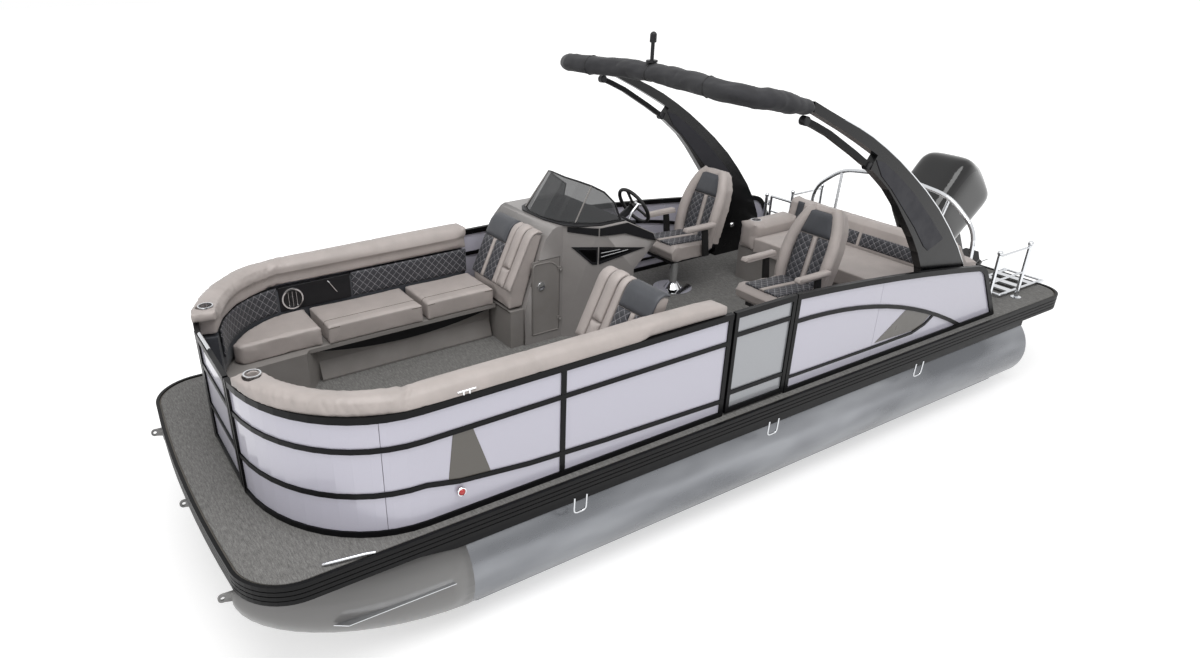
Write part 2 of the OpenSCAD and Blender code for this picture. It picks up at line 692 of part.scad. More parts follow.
module helm_console() {
    color([0.6, 0.58, 0.54]) difference() {
        union() {
            side_plate(console_side(0), console_out, cabinet_in);
            // The console stands proud of the cabinet
            intersection() {
                side_plate(console_side(0), cabinet_in - 1, console_in);
                plan_plate([[helm_x - 100, console_in], [door_x[0] - 230, console_in],
                    [door_x[0] - 24, cabinet_in], [helm_x - 100, cabinet_in - 1]],
                    floor_z, floor_z + 1200);
            }
        }
        side_plate(console_side(shell), console_out + shell, cabinet_in - shell);
        // Foot space under the dash, open to the helm
        box([helm_x - 200, console_out + 90, floor_z + 30], [console_aft + 60, cabinet_in - shell, floor_z + 560]);
        // Doorway of the cabinet
        box([door_x[0], cabinet_in - shell - 2, door_z[0]], [door_x[1], console_in + 5, door_z[1]]);
    }
    // Fixed knuckles of the cabinet door
    color("silver") for (z = door_levels) {
        translate([door_pin.x, door_pin.y, z]) cylinder(h = 20, d = 12);
        box([door_pin.x - 14, cabinet_in - 1, z], [door_pin.x, cabinet_in + 9, z + 20]);
    }
    // Steering shaft boss on the dash
    color([0.1, 0.1, 0.1]) translate(wheel_c) rotate([0, wheel_tilt, 0])
        translate([0, 0, 24]) cylinder(h = 240, d = 60);
}
door_gap = 6;
door_pin = [door_x[0] - 2, cabinet_in + 9];
door_levels = [door_z[0] + 80, door_z[1] - 120];
module cabinet_door() {
    color([0.62, 0.59, 0.55]) {
        box([door_x[0] + door_gap, cabinet_in - 12, door_z[0] + door_gap],
            [door_x[1] - door_gap, cabinet_in + 2, door_z[1] - door_gap]);
        for (z = door_levels) let(z0 = z + 20 + joint_gap) {
            translate([door_pin.x, door_pin.y, z0]) cylinder(h = 20, d = 12);
            box([door_pin.x, cabinet_in + 1, z0], [door_x[0] + 26, cabinet_in + 9, z0 + 20]);
        }
    }
}
// Windscreen wrapped round the front of the dash: a foot line and a head line
pane_t = 6;
screen_h = 300;
screen_foot = [[280, -252], [480, -262], [625, -372], [715, -480], [752, -640], [752, -840],
    [712, -950], [600, -1018], [280, -1030]];
screen_head = [[300, -310], [400, -318], [480, -372], [525, -470], [540, -640], [530, -840],
    [500, -930], [430, -964], [300, -970]];
screen_rise = [0.45, 0.78, 0.94, 1, 1, 1, 0.94, 0.78, 0.45];
module windscreen() {
    n = len(screen_foot);
    z0 = console_top + seat_gap;
    function line(p, up, d) = let(t = headings(p)) [for (i = [0:n - 1])
        [helm_x + p[i].x - t[i].y * d, p[i].y + t[i].x * d, z0 + up * screen_h * screen_rise[i]]];
    rings = concat(line(screen_foot, 0, 0), line(screen_head, 1, 0),
        line(screen_head, 1, -pane_t), line(screen_foot, 0, -pane_t));
    color([0.2, 0.22, 0.25, 0.6]) polyhedron(rings, concat(
        [for (r = [0:3]) for (i = [0:n - 2]) let(a = r * n + i, b = ((r + 1) % 4) * n + i)
            each [[a, b + 1, b], [a, a + 1, b + 1]]],
        [[0, n, 2 * n, 3 * n], [n - 1, 4 * n - 1, 3 * n - 1, 2 * n - 1]]), convexity = 6);
}
wheel_r = 180;
rim_d = 30;
module steering_wheel() {
    color([0.1, 0.1, 0.1]) translate(wheel_c) rotate([0, wheel_tilt, 0]) {
        rotate_extrude($fn = 72) translate([wheel_r - rim_d / 2, 0]) circle(d = rim_d, $fn = 24);
        for (a = [60, 180, 300]) rotate([0, 0, a])
            box([0, -14, -5], [wheel_r - rim_d / 2, 14, 5]);
        cylinder(h = 23.5, d = 84);
        translate([0, 0, -14]) cylinder(h = 15, d = 84);
    }
}

/* Captain's chairs */
helm_chair = [-800, -690];
companion_chair = [-700, 610];
column_h = 290;
chair_w = 520;
module chair_pedestals() {
    color("silver") for (c = [helm_chair, companion_chair]) translate([c.x, c.y, floor_z]) {
        cylinder(h = 14, r = 175);
        cylinder(h = 60, r1 = 90, r2 = 45);
        cylinder(h = column_h, d = 74);
    }
}
module chair_seat() {
    w = chair_w / 2;
    pan_z = column_h + joint_gap;
    // Turntable and pan
    color([0.1, 0.1, 0.1]) translate([0, 0, pan_z]) cylinder(h = 40, d = 180);
    color([0.1, 0.1, 0.1]) box([-190, -160, pan_z + 30], [190, 160, pan_z + 60]);
    color([0.66, 0.62, 0.58])
        side_plate([[-215, pan_z + 60], [180, pan_z + 60], [255, pan_z + 90], [270, pan_z + 160],
            [230, pan_z + 205], [-215, pan_z + 180]], -w + 20, w - 20);
    // Arm posts and pads
    both_sides() {
        color([0.1, 0.1, 0.1]) side_plate([[-150, pan_z + 80], [-90, pan_z + 80],
            [-60, pan_z + 330], [-110, pan_z + 330]], w - 20, w + 6);
        color([0.66, 0.62, 0.58]) side_plate([[-190, pan_z + 330], [140, pan_z + 330],
            [165, pan_z + 350], [150, pan_z + 380], [-180, pan_z + 380]], w - 26, w + 34);
    }
}
back_rake = 14;
module chair_back() {
    color([0.66, 0.62, 0.58]) translate([-215 - seat_gap, 0, column_h + 130]) rotate([0, -back_rake, 0])
        cross_plate([[-215, 0], [215, 0], [232, 180], [235, 360], [215, 520], [150, 640],
            [100, 675], [-100, 675], [-150, 640], [-215, 520], [-235, 360], [-232, 180]], -110, 0);
}
module at_chair(c) { translate([c.x, c.y, floor_z]) children(); }
module helm_seat() { at_chair(helm_chair) chair_seat(); }
module helm_back() { at_chair(helm_chair) chair_back(); }
module companion_seat() { at_chair(companion_chair) chair_seat(); }
module companion_back() { at_chair(companion_chair) chair_back(); }

/* Stern lounge */
lounge_port = 1064;
lounge_fore = -1440;
lounge_back_x = -2040;
lounge_aft = -2540;
arm_y = lounge_starboard + 190;
stern_back_h = 690;
module stern_lounge_base() {
    wall = 24;
    color([0.62, 0.59, 0.55]) difference() {
        box([lounge_aft, lounge_starboard, floor_z], [lounge_fore - 60, lounge_port, board_z]);
        for (x = [[lounge_aft + wall, lounge_back_x - 60], [lounge_back_x, lounge_fore - 60 - wall]])
            box([x[0], lounge_starboard + wall, floor_z + 20],
                [x[1], lounge_port - wall, board_z + 1]);
    }
}
module stern_lounge_cushion() {
    color([0.66, 0.62, 0.58]) {
        box([lounge_back_x + 4, arm_y + 3, board_z + seat_gap], [lounge_fore, lounge_port, seat_z]);
        // Arm with a cup holder at the starboard end
        difference() {
            box([lounge_back_x + 4, lounge_starboard, board_z + seat_gap],
                [lounge_fore - 40, arm_y, floor_z + 560]);
            translate([arm_cup.x, arm_cup.y, floor_z + 560 - cup_depth])
                cylinder(h = cup_depth + 1, r = cup_r + seat_gap);
        }
    }
}
arm_cup = [lounge_fore - 150, lounge_starboard + 90];
module stern_lounge_back() {
    color([0.66, 0.62, 0.58]) side_plate([[lounge_back_x, board_z + seat_gap],
        [lounge_back_x - 6, seat_z], [lounge_back_x - 60, floor_z + stern_back_h - 30],
        [lounge_back_x - 90, floor_z + stern_back_h], [lounge_back_x - 170, floor_z + stern_back_h],
        [lounge_back_x - 190, floor_z + stern_back_h - 20], [lounge_back_x - 110, board_z + seat_gap]],
        lounge_starboard, lounge_port);
}
module sun_pad() {
    color([0.66, 0.62, 0.58]) side_plate([[lounge_back_x - 114, board_z + seat_gap],
        [lounge_back_x - 192, floor_z + stern_back_h - 26], [lounge_back_x - 215, floor_z + stern_back_h - 30],
        [lounge_aft + 130, floor_z + 480], [lounge_aft - 10, floor_z + 470],
        [lounge_aft - 10, board_z + seat_gap]], lounge_starboard, lounge_port);
}
module cup_holders() {
    module cup() {
        difference() {
            union() {
                translate([0, 0, -cup_depth]) cylinder(h = cup_depth, r = cup_r);
                cylinder(h = 3, r = cup_r + 6);
            }
            translate([0, 0, -cup_depth + cup_wall]) cylinder(h = cup_depth + 9, r = cup_r - cup_wall);
        }
    }
    color("silver") {
        both_sides() translate([cup_at.x, cup_at.y, rail_z + bolster_h + seat_gap]) cup();
        translate([arm_cup.x, arm_cup.y, floor_z + 560 + seat_gap]) cup();
    }
}

/* Arch */
arch_y = fence_y - fence_t - 3;         // outboard face of a leg
lean = 0.06;                            // a leg leans inboard by this much of its height
lean_angle = atan(lean);
arch_k = arch_h / 2130;
leg_top = [-215, floor_z + arch_h - 191];
beam_h = 66;
pivot = [-850, 1489];
arch_aft = [[-2300, 0], [-2297, 185], [-2255, 351], [-2150, 541], [-2035, 701], [-1875, 881],
    [-1700, 1056], [-1500, 1226], [-1315, 1365], [-1150, 1483], [-990, 1586], [-820, 1686],
    [-671, 1761], [-511, 1833], [-358, 1904], [-215, 1972]];
arch_fore = [[-215, 1906], [-541, 1747], [-720, 1653], [-896, 1556], [-861, 1512], [-838, 1467],
    [-862, 1455], [-998, 1351], [-1067, 1296], [-1191, 1170], [-1306, 1036], [-1429, 890],
    [-1522, 758], [-1598, 621], [-1680, 321], [-1740, 0]];
arch_points = concat(arch_aft, arch_fore);
// Lighter infill on both faces of each leg
infill_points = [[-965, 1405], [-1095, 1295], [-1250, 1142], [-1430, 965], [-1580, 795],
    [-1640, 750], [-1811, 811], [-1604, 1010], [-1377, 1213], [-1172, 1367], [-975, 1496],
    [-882, 1528]];
// An outline given above the floor, as a leaning plate from y0 to y1 at its foot
module lean_plate(p, y0, y1) {
    translate([0, arch_y, floor_z]) rotate([lean_angle, 0, 0])
        side_plate([for (q = p) [q.x, q.y * arch_k / cos(lean_angle)]], y0 - arch_y, y1 - arch_y);
}
infill_t = 4;
module arch_frame() {
    color([0.09, 0.09, 0.1]) both_sides() difference() {
        lean_plate(arch_points, arch_y - arch_t, arch_y);
        box([arch_aft[0].x - 50, arch_y - arch_t - 20, floor_z - 20],
            [arch_fore[len(arch_fore) - 1].x + 50, arch_y + 20, floor_z]);
    }
}
module arch_panels() {
    out = arch_y + seat_gap;
    in = arch_y - arch_t - seat_gap;
    color([0.27, 0.27, 0.3]) both_sides() {
        lean_plate(infill_points, out, out + infill_t);
        lean_plate(infill_points, in - infill_t, in);
    }
}
// Folded canvas in its cover, from one leg over to the other
boot_y = arch_y - arch_t / 2 - lean * (leg_top.y - floor_z);
boot_top = leg_top.y + 118;
boot_half = [for (p = [[0.3, 0, 0], [30, 0, 0], [180, 0, 30], [330, 20, 66], [430, 70, 84], [478, 170, 94],
    [475, 320, 100], [445, 560, 110], [425, 830, 117]]) [leg_top.x + p.x, boot_y - p.y, leg_top.y + p.z]];
boot_line = concat(boot_half, [[leg_top.x + 420, 0, boot_top]],
    [for (p = reverse(boot_half)) [p.x, -p.y, p.z]]);
boot_w = 165;
boot_h = 130;
module bimini_boot() {
    color([0.2, 0.2, 0.21]) sweep(boot_line, boot_w, boot_h, 20,
        taper = concat([0.8, 0.85], [for (i = [4:len(boot_line) - 1]) 1], [0.85, 0.8]));
}
bow_end = -156;
module bimini_bows() {
    line = [[pivot.x + 1.4, pivot.y + 0.78], [-782, 1526], [-667, 1598], [-530, 1678], [-400, 1754],
        [-265, 1818], [bow_end, 1865]];
    color([0.1, 0.1, 0.1]) both_sides() lean_plate(ribbon(line, 40), arch_y - arch_t + 13, arch_y - 13);
}
mast_z = boot_top + boot_h / 2;
module mast_light() {
    color([0.2, 0.2, 0.2]) translate([leg_top.x + 420, 0, mast_z + seat_gap]) {
        cylinder(h = 14, d = 80);
        cylinder(h = 130, d = 26);
        translate([0, 0, 128]) cylinder(h = 46, d = 46);
        translate([0, 0, 174]) sphere(d = 46, $fn = 32);
    }
}

/* Stern fittings */
rail_x = -half_len + 500;
rail_y = fence_y - 110;
hoop_x = lounge_aft - 220;
hoop_pipe = 38;
ladder_x = -half_len - 22;
ladder_y = [well_w / 2 + 300, well_w / 2 + 620];
ladder_z = floor_z + 26;
ladder_len = 660;
module post(c, h) {
    translate([c.x, c.y, floor_z]) cylinder(h = 8, d = 84);
    translate([c.x, c.y, floor_z]) cylinder(h = h, d = 32);
    translate([c.x, c.y, floor_z + h]) sphere(d = 46, $fn = 32);
}
module stern_rails() {
    post_h = 500;
    color("silver") {
        both_sides() {
            post([rail_x, rail_y], post_h);
            // Two rails tie each post to a stanchion behind the fence
            for (z = [240, post_h - 30]) rod([rail_x, rail_y, floor_z + z],
                [fence_stern - 60, rail_y, floor_z + z], 19);
            post([fence_stern - 60, rail_y], post_h);
            // Brace of the tow bar
            rod([hoop_x, 560, floor_z + 838], [hoop_x + 165, 470, floor_z + 3.5], 28);
            translate([hoop_x + 165, 470, floor_z]) cylinder(h = 8, d = 70);
        }
        // Tow bar, a hoop over the motor well
        both_sides() translate([hoop_x, 880, floor_z]) cylinder(h = 8, d = 84);
        bar(bend([[hoop_x, -880, floor_z + 1], [hoop_x, -850, floor_z + 620], [hoop_x, -560, floor_z + 850],
            [hoop_x, 0, floor_z + 920], [hoop_x, 560, floor_z + 850], [hoop_x, 850, floor_z + 620],
            [hoop_x, 880, floor_z + 1]], 130, 5), hoop_pipe, ref = [1, 0, 0]);
        // Stanchion and knuckles of the stern gate
        post([stern_gate.x, stern_gate.y - 36], 520);
        for (z = stern_levels) {
            translate([stern_gate.x, stern_gate.y, z]) cylinder(h = knuckle_h, d = hinge_d);
            rod([stern_gate.x, stern_gate.y - 36, z + knuckle_h / 2],
                [stern_gate.x, stern_gate.y, z + knuckle_h / 2], 12);
        }
        // Hinge ears of the boarding ladder
        for (y = [ladder_y[0] - 24, ladder_y[1] + 14]) {
            box([-half_len + rub_t + 4, y, floor_z], [-half_len + 80, y + 10, ladder_z + 8]);
            translate([0, y, 0]) side_plate([[-half_len + 40, floor_z + 8], [-half_len + 40, ladder_z + 8],
                [ladder_x, ladder_z + 14], [ladder_x - 12, ladder_z], [ladder_x, ladder_z - 12]], 0, 10);
        }
    }
}
module boarding_ladder() {
    y0 = ladder_y[0];
    y1 = ladder_y[1];
    color("silver") {
        for (y = [y0, y1]) rod([ladder_x, y, ladder_z], [ladder_x + ladder_len, y, ladder_z], pipe);
        rod([ladder_x + ladder_len, y0, ladder_z], [ladder_x + ladder_len, y1, ladder_z], pipe);
        for (y = [y0, y1]) translate([ladder_x + ladder_len, y, ladder_z]) sphere(d = pipe, $fn = 24);
        rod([ladder_x, y0 - 14 + joint_gap, ladder_z], [ladder_x, y1 + 14 - joint_gap, ladder_z], 20);
        for (i = [1:3]) let(x = ladder_x + i * ladder_len / 4)
            box([x - 35, y0, ladder_z - 5], [x + 35, y1, ladder_z + 9]);
    }
}

/* Outboard motor */
tilt_c = [pod_x + 25, 0, transom_top + 42];     // the tilt tube, across the transom
steer_x = -150;                                 // steering axis, behind the tilt tube
plate_z = -42 - shaft_len;                      // cavitation plate
prop_z = plate_z - prop_d / 2 - 25;
gear_len = 540;
prop_x = -gear_len - 130;
module parked() { translate(tilt_c) rotate([0, motor_tilt, 0]) children(); }
module motor_bracket() {
    color([0.12, 0.12, 0.13]) difference() {
        union() {
            // Clamp plates down the back of the transom, and over its top
            for (y = [-172, 150]) translate([tilt_c.x, y, tilt_c.z]) side_plate([[-60, -330],
                [-26, -360], [-25.3, -42], [70, -40], [70, -10], [30, 34], [0, 40], [-36, 24],
                [-80, -60]], 0, 22);
            translate([tilt_c.x, -172, tilt_c.z - 320]) side_plate([[-58, 0], [-26, 0],
                [-26, 60], [-58, 60]], 0, 344);
        }
        translate([tilt_c.x, -200, tilt_c.z]) rotate([-90, 0, 0]) cylinder(h = 400, d = 41);
    }
}
module motor_swivel() {
    color([0.12, 0.12, 0.13]) parked() {
        // Tilt tube
        translate([0, -190, 0]) rotate([-90, 0, 0]) cylinder(h = 380, d = 40.9);
        difference() {
            union() {
                // Cheeks on the tilt tube, and the barrel that the motor steers in
                side_plate([[30, -20], [30, 22], [-40, 40], [-92, 40], [-92, -190], [-58, -66],
                    [-36, -34]], -142, 142);
                side_plate([[-80, 40], [steer_x, 40], [steer_x, -330], [-130, -330],
                    [-80, -160]], -42, 42);
                translate([steer_x, 0, -330]) cylinder(h = 370, r = 45);
            }
            translate([steer_x, 0, -400]) cylinder(h = 500, d = 60);
        }
    }
}
module motor_cowl() {
    color([0.05, 0.05, 0.06]) parked() hull() {
        for (y = [-1, 1]) {
            translate([-110, y * 190, 150]) sphere(r = 78, $fn = 20);
            translate([-700, y * 170, 160]) sphere(r = 88, $fn = 20);
            translate([-130, y * 170, 560]) sphere(r = 90, $fn = 20);
            translate([-600, y * 150, 620]) sphere(r = 110, $fn = 20);
            translate([-730, y * 110, 430]) sphere(r = 90, $fn = 20);
        }
    }
}
module motor_leg() {
    color([0.07, 0.07, 0.08]) parked() {
        // Steering tube, saddle under the cowl and mid-section
        translate([steer_x, 0, -370]) cylinder(h = 440, d = 59.6);
        box([-620, -130, 46], [-60, 130, 72.6]);
        side_plate([[steer_x - 60, 60], [-520, 60], [-480, -200], [-430, plate_z],
            [-210, plate_z], [steer_x - 60, -300]], -62, 62);
        box([steer_x - 80, -40, -370], [steer_x + 20, 40, -336]);
        // Cavitation plate
        plan_plate(concat([[-200, 60], [-330, 130]], [[-560, 130], [-640, 70], [-640, -70],
            [-560, -130]], [[-330, -130], [-200, -60]]), plate_z - 6, plate_z + 8);
        side_plate([[-230, plate_z], [-430, plate_z], [-460, prop_z], [-190, prop_z]], -30, 30);
        // Gearcase and skeg
        translate([-gear_len, 0, prop_z]) rotate([0, 90, 0]) {
            cylinder(h = gear_len - 170, d = 126);
            translate([0, 0, gear_len - 170]) cylinder(h = 70, d1 = 126, d2 = 50);
        }
        side_plate([[-200, prop_z], [-300, prop_z - 175], [-420, prop_z - 175],
            [-470, prop_z]], -9, 9);
        // Propeller shaft
        translate([prop_x - 20, 0, prop_z]) rotate([0, 90, 0]) cylinder(h = 160, d = 30);
    }
}
module propeller() {
    hub_len = 110;
    blades = 4;
    color([0.1, 0.1, 0.1]) parked() translate([prop_x, 0, prop_z]) rotate([0, 90, 0]) difference() {
        union() {
            cylinder(h = hub_len, d1 = 96, d2 = 118);
            for (i = [0:blades - 1]) rotate([0, 0, 360 / blades * i + 45])
                translate([0, 0, hub_len / 2]) rotate([0, 62, 0]) rotate([0, 0, 0])
                    translate([0, 0, -3]) linear_extrude(6)
                        polygon([[-40, 40], [-72, 120], [-50, prop_d / 2 - 12], [0, prop_d / 2],
                            [50, prop_d / 2 - 18], [62, 120], [36, 40]]);
        }
        translate([0, 0, -1]) cylinder(h = hub_len + 2, d = 30.6);
    }
}

port_pontoon();
centre_pontoon();
starboard_pontoon();
nose_cones();
splash_fins();
tube_risers();
cross_members();
side_skirts();
motor_pod();
deck();
vinyl_floor();
rub_rail();
port_fence();
port_panels();
starboard_fence();
starboard_panels();
side_accents();
bow_gate();
side_gate();
stern_gate();
gate_panels_bow();
gate_panels_side();
port_lounge_base();
starboard_lounge_base();
port_lounge_back();
starboard_lounge_back();
corner_cushions();
port_seat_fore();
port_seat_aft();
starboard_seat_fore();
starboard_seat_aft();
port_chaise_back();
starboard_chaise_back();
cabinet_door();
helm_console();
windscreen();
steering_wheel();
chair_pedestals();
helm_seat();
helm_back();
companion_seat();
companion_back();
stern_lounge_base();
stern_lounge_cushion();
stern_lounge_back();
sun_pad();
cup_holders();
arch_frame();
arch_panels();
bimini_bows();
bimini_boot();
mast_light();
stern_rails();
boarding_ladder();
motor_bracket();
motor_swivel();
motor_cowl();
motor_leg();
propeller();
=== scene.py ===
# %% [markdown]
# # A tritoon pontoon boat
# A pleasure boat on three aluminium tubes, with a fence of painted panels in black rails,
# upholstered lounges, a helm, an arch with its folded canvas and an outboard motor tilted up.
# The hard parts come from the CAD model and keep their shapes. This lesson gives them their
# finishes, replaces the plain cushions with sewn ones, and adds the small fittings.

# %% Load the frame
import json
import math

import bmesh
import bpy
import numpy as np
from mathutils import Matrix, Vector
from mathutils import noise as noise_at
from mathutils.bvhtree import BVHTree


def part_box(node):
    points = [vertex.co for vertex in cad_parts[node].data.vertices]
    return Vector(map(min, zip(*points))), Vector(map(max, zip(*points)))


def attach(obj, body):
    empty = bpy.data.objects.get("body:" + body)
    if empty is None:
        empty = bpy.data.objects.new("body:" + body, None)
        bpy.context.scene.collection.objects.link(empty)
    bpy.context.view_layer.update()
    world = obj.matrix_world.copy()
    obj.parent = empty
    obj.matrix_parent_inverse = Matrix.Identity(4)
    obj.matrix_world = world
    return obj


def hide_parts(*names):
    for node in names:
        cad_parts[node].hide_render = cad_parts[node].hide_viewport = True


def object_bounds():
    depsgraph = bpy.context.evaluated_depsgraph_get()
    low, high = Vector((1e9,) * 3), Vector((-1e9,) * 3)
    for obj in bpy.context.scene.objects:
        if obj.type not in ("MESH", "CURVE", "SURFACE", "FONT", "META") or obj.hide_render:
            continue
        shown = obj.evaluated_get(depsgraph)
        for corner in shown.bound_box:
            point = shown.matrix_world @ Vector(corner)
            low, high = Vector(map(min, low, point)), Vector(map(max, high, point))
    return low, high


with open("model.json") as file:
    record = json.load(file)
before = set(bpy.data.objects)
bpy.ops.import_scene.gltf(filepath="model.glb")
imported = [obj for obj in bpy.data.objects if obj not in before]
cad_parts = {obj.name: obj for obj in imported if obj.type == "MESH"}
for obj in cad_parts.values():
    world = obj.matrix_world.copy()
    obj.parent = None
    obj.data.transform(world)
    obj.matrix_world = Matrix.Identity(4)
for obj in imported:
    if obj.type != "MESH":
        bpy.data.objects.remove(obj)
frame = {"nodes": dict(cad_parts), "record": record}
cad_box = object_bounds()
nodes = frame["nodes"]
MM = 0.001
SIDES = ((1, "port"), (-1, "starboard"))

# %% [markdown]
# ## Colours and shader nodes
# Paint charts and cloth swatches are given as sRGB hex values, and a shader wants linear light,
# so one function converts them. A second one adds a shader node with its settings and links,
# because every material below is a short chain of such nodes.

# %% Colour and node helpers


def tone(code):
    """An sRGB hex colour as linear RGBA."""
    parts = [int(code[i:i + 2], 16) / 255 for i in (1, 3, 5)]
    linear = [c / 12.92 if c <= 0.04045 else ((c + 0.055) / 1.055) ** 2.4 for c in parts]
    return (*linear, 1.0)


def add_node(tree, kind, inputs=None, **settings):
    """A shader node with its settings, and its inputs set to values or linked to outputs."""
    node = tree.nodes.new(kind)
    for key, value in settings.items():
        setattr(node, key, value)
    for key, value in (inputs or {}).items():
        if isinstance(value, bpy.types.NodeSocket):
            tree.links.new(value, node.inputs[key])
        else:
            node.inputs[key].default_value = value
    return node


def maths(tree, operation, *values):
    """One step of arithmetic on numbers and outputs."""
    return add_node(tree, "ShaderNodeMath", dict(enumerate(values)),
                    operation=operation).outputs[0]


def finish(name, code, roughness, metallic=0.0, **sockets):
    """A new material: its tree, its Principled shader, and the Object coordinates in metres."""
    material = bpy.data.materials.new(name)
    material.use_nodes = True
    tree = material.node_tree
    tree.nodes.clear()
    values = {"Base Color": tone(code), "Roughness": roughness, "Metallic": metallic}
    values.update({key.replace("_", " "): value for key, value in sockets.items()})
    shader = add_node(tree, "ShaderNodeBsdfPrincipled", values)
    add_node(tree, "ShaderNodeOutputMaterial", {"Surface": shader.outputs[0]})
    place = add_node(tree, "ShaderNodeTexCoord").outputs["Object"]
    return material, tree, shader, place


def ramp(tree, factor, stops):
    """A colour ramp from a factor: stops are (position, hex or grey level)."""
    node = add_node(tree, "ShaderNodeValToRGB", {"Fac": factor})
    bands = node.color_ramp.elements
    while len(bands) < len(stops):
        bands.new(0.5)
    for band, (at, value) in zip(bands, stops):
        band.position = at
        band.color = tone(value) if isinstance(value, str) else (value, value, value, 1)
    return node.outputs["Color"]


def bumps(tree, shader, height, depth_mm, strength=1.0):
    """Relief of a real depth in millimetres on a shader."""
    node = add_node(tree, "ShaderNodeBump", {"Height": height, "Strength": strength,
                                            "Distance": depth_mm * MM})
    tree.links.new(node.outputs[0], shader.inputs["Normal"])


def noise(tree, place, size_mm, detail=3.0, roughness=0.5):
    """Noise whose blotches are about size_mm across."""
    return add_node(tree, "ShaderNodeTexNoise", {"Vector": place, "Scale": 1 / (size_mm * MM),
                    "Detail": detail, "Roughness": roughness}).outputs["Fac"]


print("helpers ready")

# %% [markdown]
# ## Metals
# The tubes are rolled from mill-finish aluminium sheet, buffed by hand, so their reflections
# are streaky and blotchy. The fence rails and the arch are powder-coated black. The small
# hardware is polished stainless steel. A metal's colour is its reflection, so the roughness
# pattern does most of the work.

# %% Aluminium, stainless and powder coat


def rolled_aluminium():
    """Mill-finish sheet with broad soft blotches, drawn out along the boat."""
    material, tree, shader, place = finish("rolled_aluminium", "#85878B", 0.3, 1.0)
    stretch = add_node(tree, "ShaderNodeMapping", {"Vector": place, "Scale": (0.3, 1, 1)})
    blotch = noise(tree, stretch.outputs[0], 330, 2.5, 0.5)
    fine = noise(tree, stretch.outputs[0], 34, 4.0, 0.6)
    share = maths(tree, "MULTIPLY", fine, 0.35)
    both = maths(tree, "MULTIPLY_ADD", blotch, 0.65, share)
    tree.links.new(ramp(tree, both, [(0.35, 0.24), (0.68, 0.36)]),
                   shader.inputs["Roughness"])
    tree.links.new(ramp(tree, blotch, [(0.34, "#6B6D71"), (0.66, "#97999D")]),
                   shader.inputs["Base Color"])
    bumps(tree, shader, blotch, 2.0, 0.2)
    return material


def polished(name, code, roughness, grain_mm=1.5):
    """Bare or plated metal whose sheen varies a little."""
    material, tree, shader, place = finish(name, code, roughness, 1.0)
    grain = noise(tree, place, grain_mm * 8, 3.0)
    tree.links.new(ramp(tree, grain, [(0.3, roughness * 0.7), (0.8, roughness * 1.5)]),
                   shader.inputs["Roughness"])
    return material


def coated(name, code, roughness, peel_mm=2.5, depth=0.08, coat=0.0, dull=0.5):
    """Powder coat or paint with a faint orange peel."""
    material, tree, shader, place = finish(name, code, roughness, Coat_Weight=coat,
                                           Coat_Roughness=0.08, Specular_IOR_Level=dull)
    peel = noise(tree, place, peel_mm, 2.0)
    bumps(tree, shader, peel, depth, 0.5)
    scuff = noise(tree, place, 90, 5.0, 0.65)
    tree.links.new(ramp(tree, scuff, [(0.35, roughness * 0.85), (0.75, roughness * 1.2)]),
                   shader.inputs["Roughness"])
    return material


aluminium = rolled_aluminium()
mill_aluminium = polished("mill_aluminium", "#A9ABAE", 0.42, 3)
bright_aluminium = polished("polished_aluminium", "#E3E5E8", 0.14)
stainless = polished("stainless_steel", "#D6D8DB", 0.16)
chrome = polished("chrome_plate", "#E8E9EB", 0.06)
black_coat = coated("black_powder_coat", "#08080A", 0.36, dull=0.16)
arch_gloss = coated("arch_black_enamel", "#0A0A0C", 0.24, 3, 0.05, dull=0.35)
arch_matt = coated("arch_grey_powder_coat", "#2F2F34", 0.55, 2.0, 0.1, dull=0.25)
motor_black = coated("motor_black_enamel", "#0E0E10", 0.3, 2.5, 0.06, 0.2)
cowl_gloss = coated("cowl_gloss_enamel", "#040405", 0.12, 30, 0.05, 0.45, 0.35)
nose_paint = coated("nose_taupe_enamel", "#7D7C7B", 0.33, 3, 0.07, 0.25)
accent_paint = coated("accent_taupe_enamel", "#5A5650", 0.32, 2.5, 0.05, 0.3)
print("metals:", len(bpy.data.materials))

# %% [markdown]
# ## Panels, moulded plastic and glass
# The fence skins are aluminium sheet with a pearl paint under clear coat, so they are pale
# lilac-white with a soft sheen. Seat bases and the console are moulded plastic and gel coat.
# The windscreen is smoked acrylic.

# %% Paint, plastic, rubber and acrylic


def pearl(name, code, flake_code, metallic):
    """Paint with fine flakes under clear coat, on sheet that waves slightly."""
    material, tree, shader, place = finish(name, code, 0.32, metallic, Coat_Weight=0.6,
                                           Coat_Roughness=0.06)
    flake = add_node(tree, "ShaderNodeTexVoronoi", {"Vector": place, "Scale": 1 / (1.2 * MM)})
    tree.links.new(ramp(tree, flake.outputs["Distance"], [(0.0, flake_code), (0.6, code)]),
                   shader.inputs["Base Color"])
    waves = noise(tree, place, 420, 2.0)
    bumps(tree, shader, waves, 1.2, 0.25)
    return material


def moulded(name, code, dark, roughness, grain_mm=1.6, depth=0.12, dull=0.5):
    """Plastic, gel coat or rubber with a fine grain and faint clouds."""
    material, tree, shader, place = finish(name, code, roughness, Specular_IOR_Level=dull)
    grain = noise(tree, place, grain_mm, 3.0, 0.6)
    cloud = noise(tree, place, 240, 4.0)
    tree.links.new(ramp(tree, cloud, [(0.3, dark), (0.7, code)]), shader.inputs["Base Color"])
    bumps(tree, shader, grain, depth, 0.5)
    return material


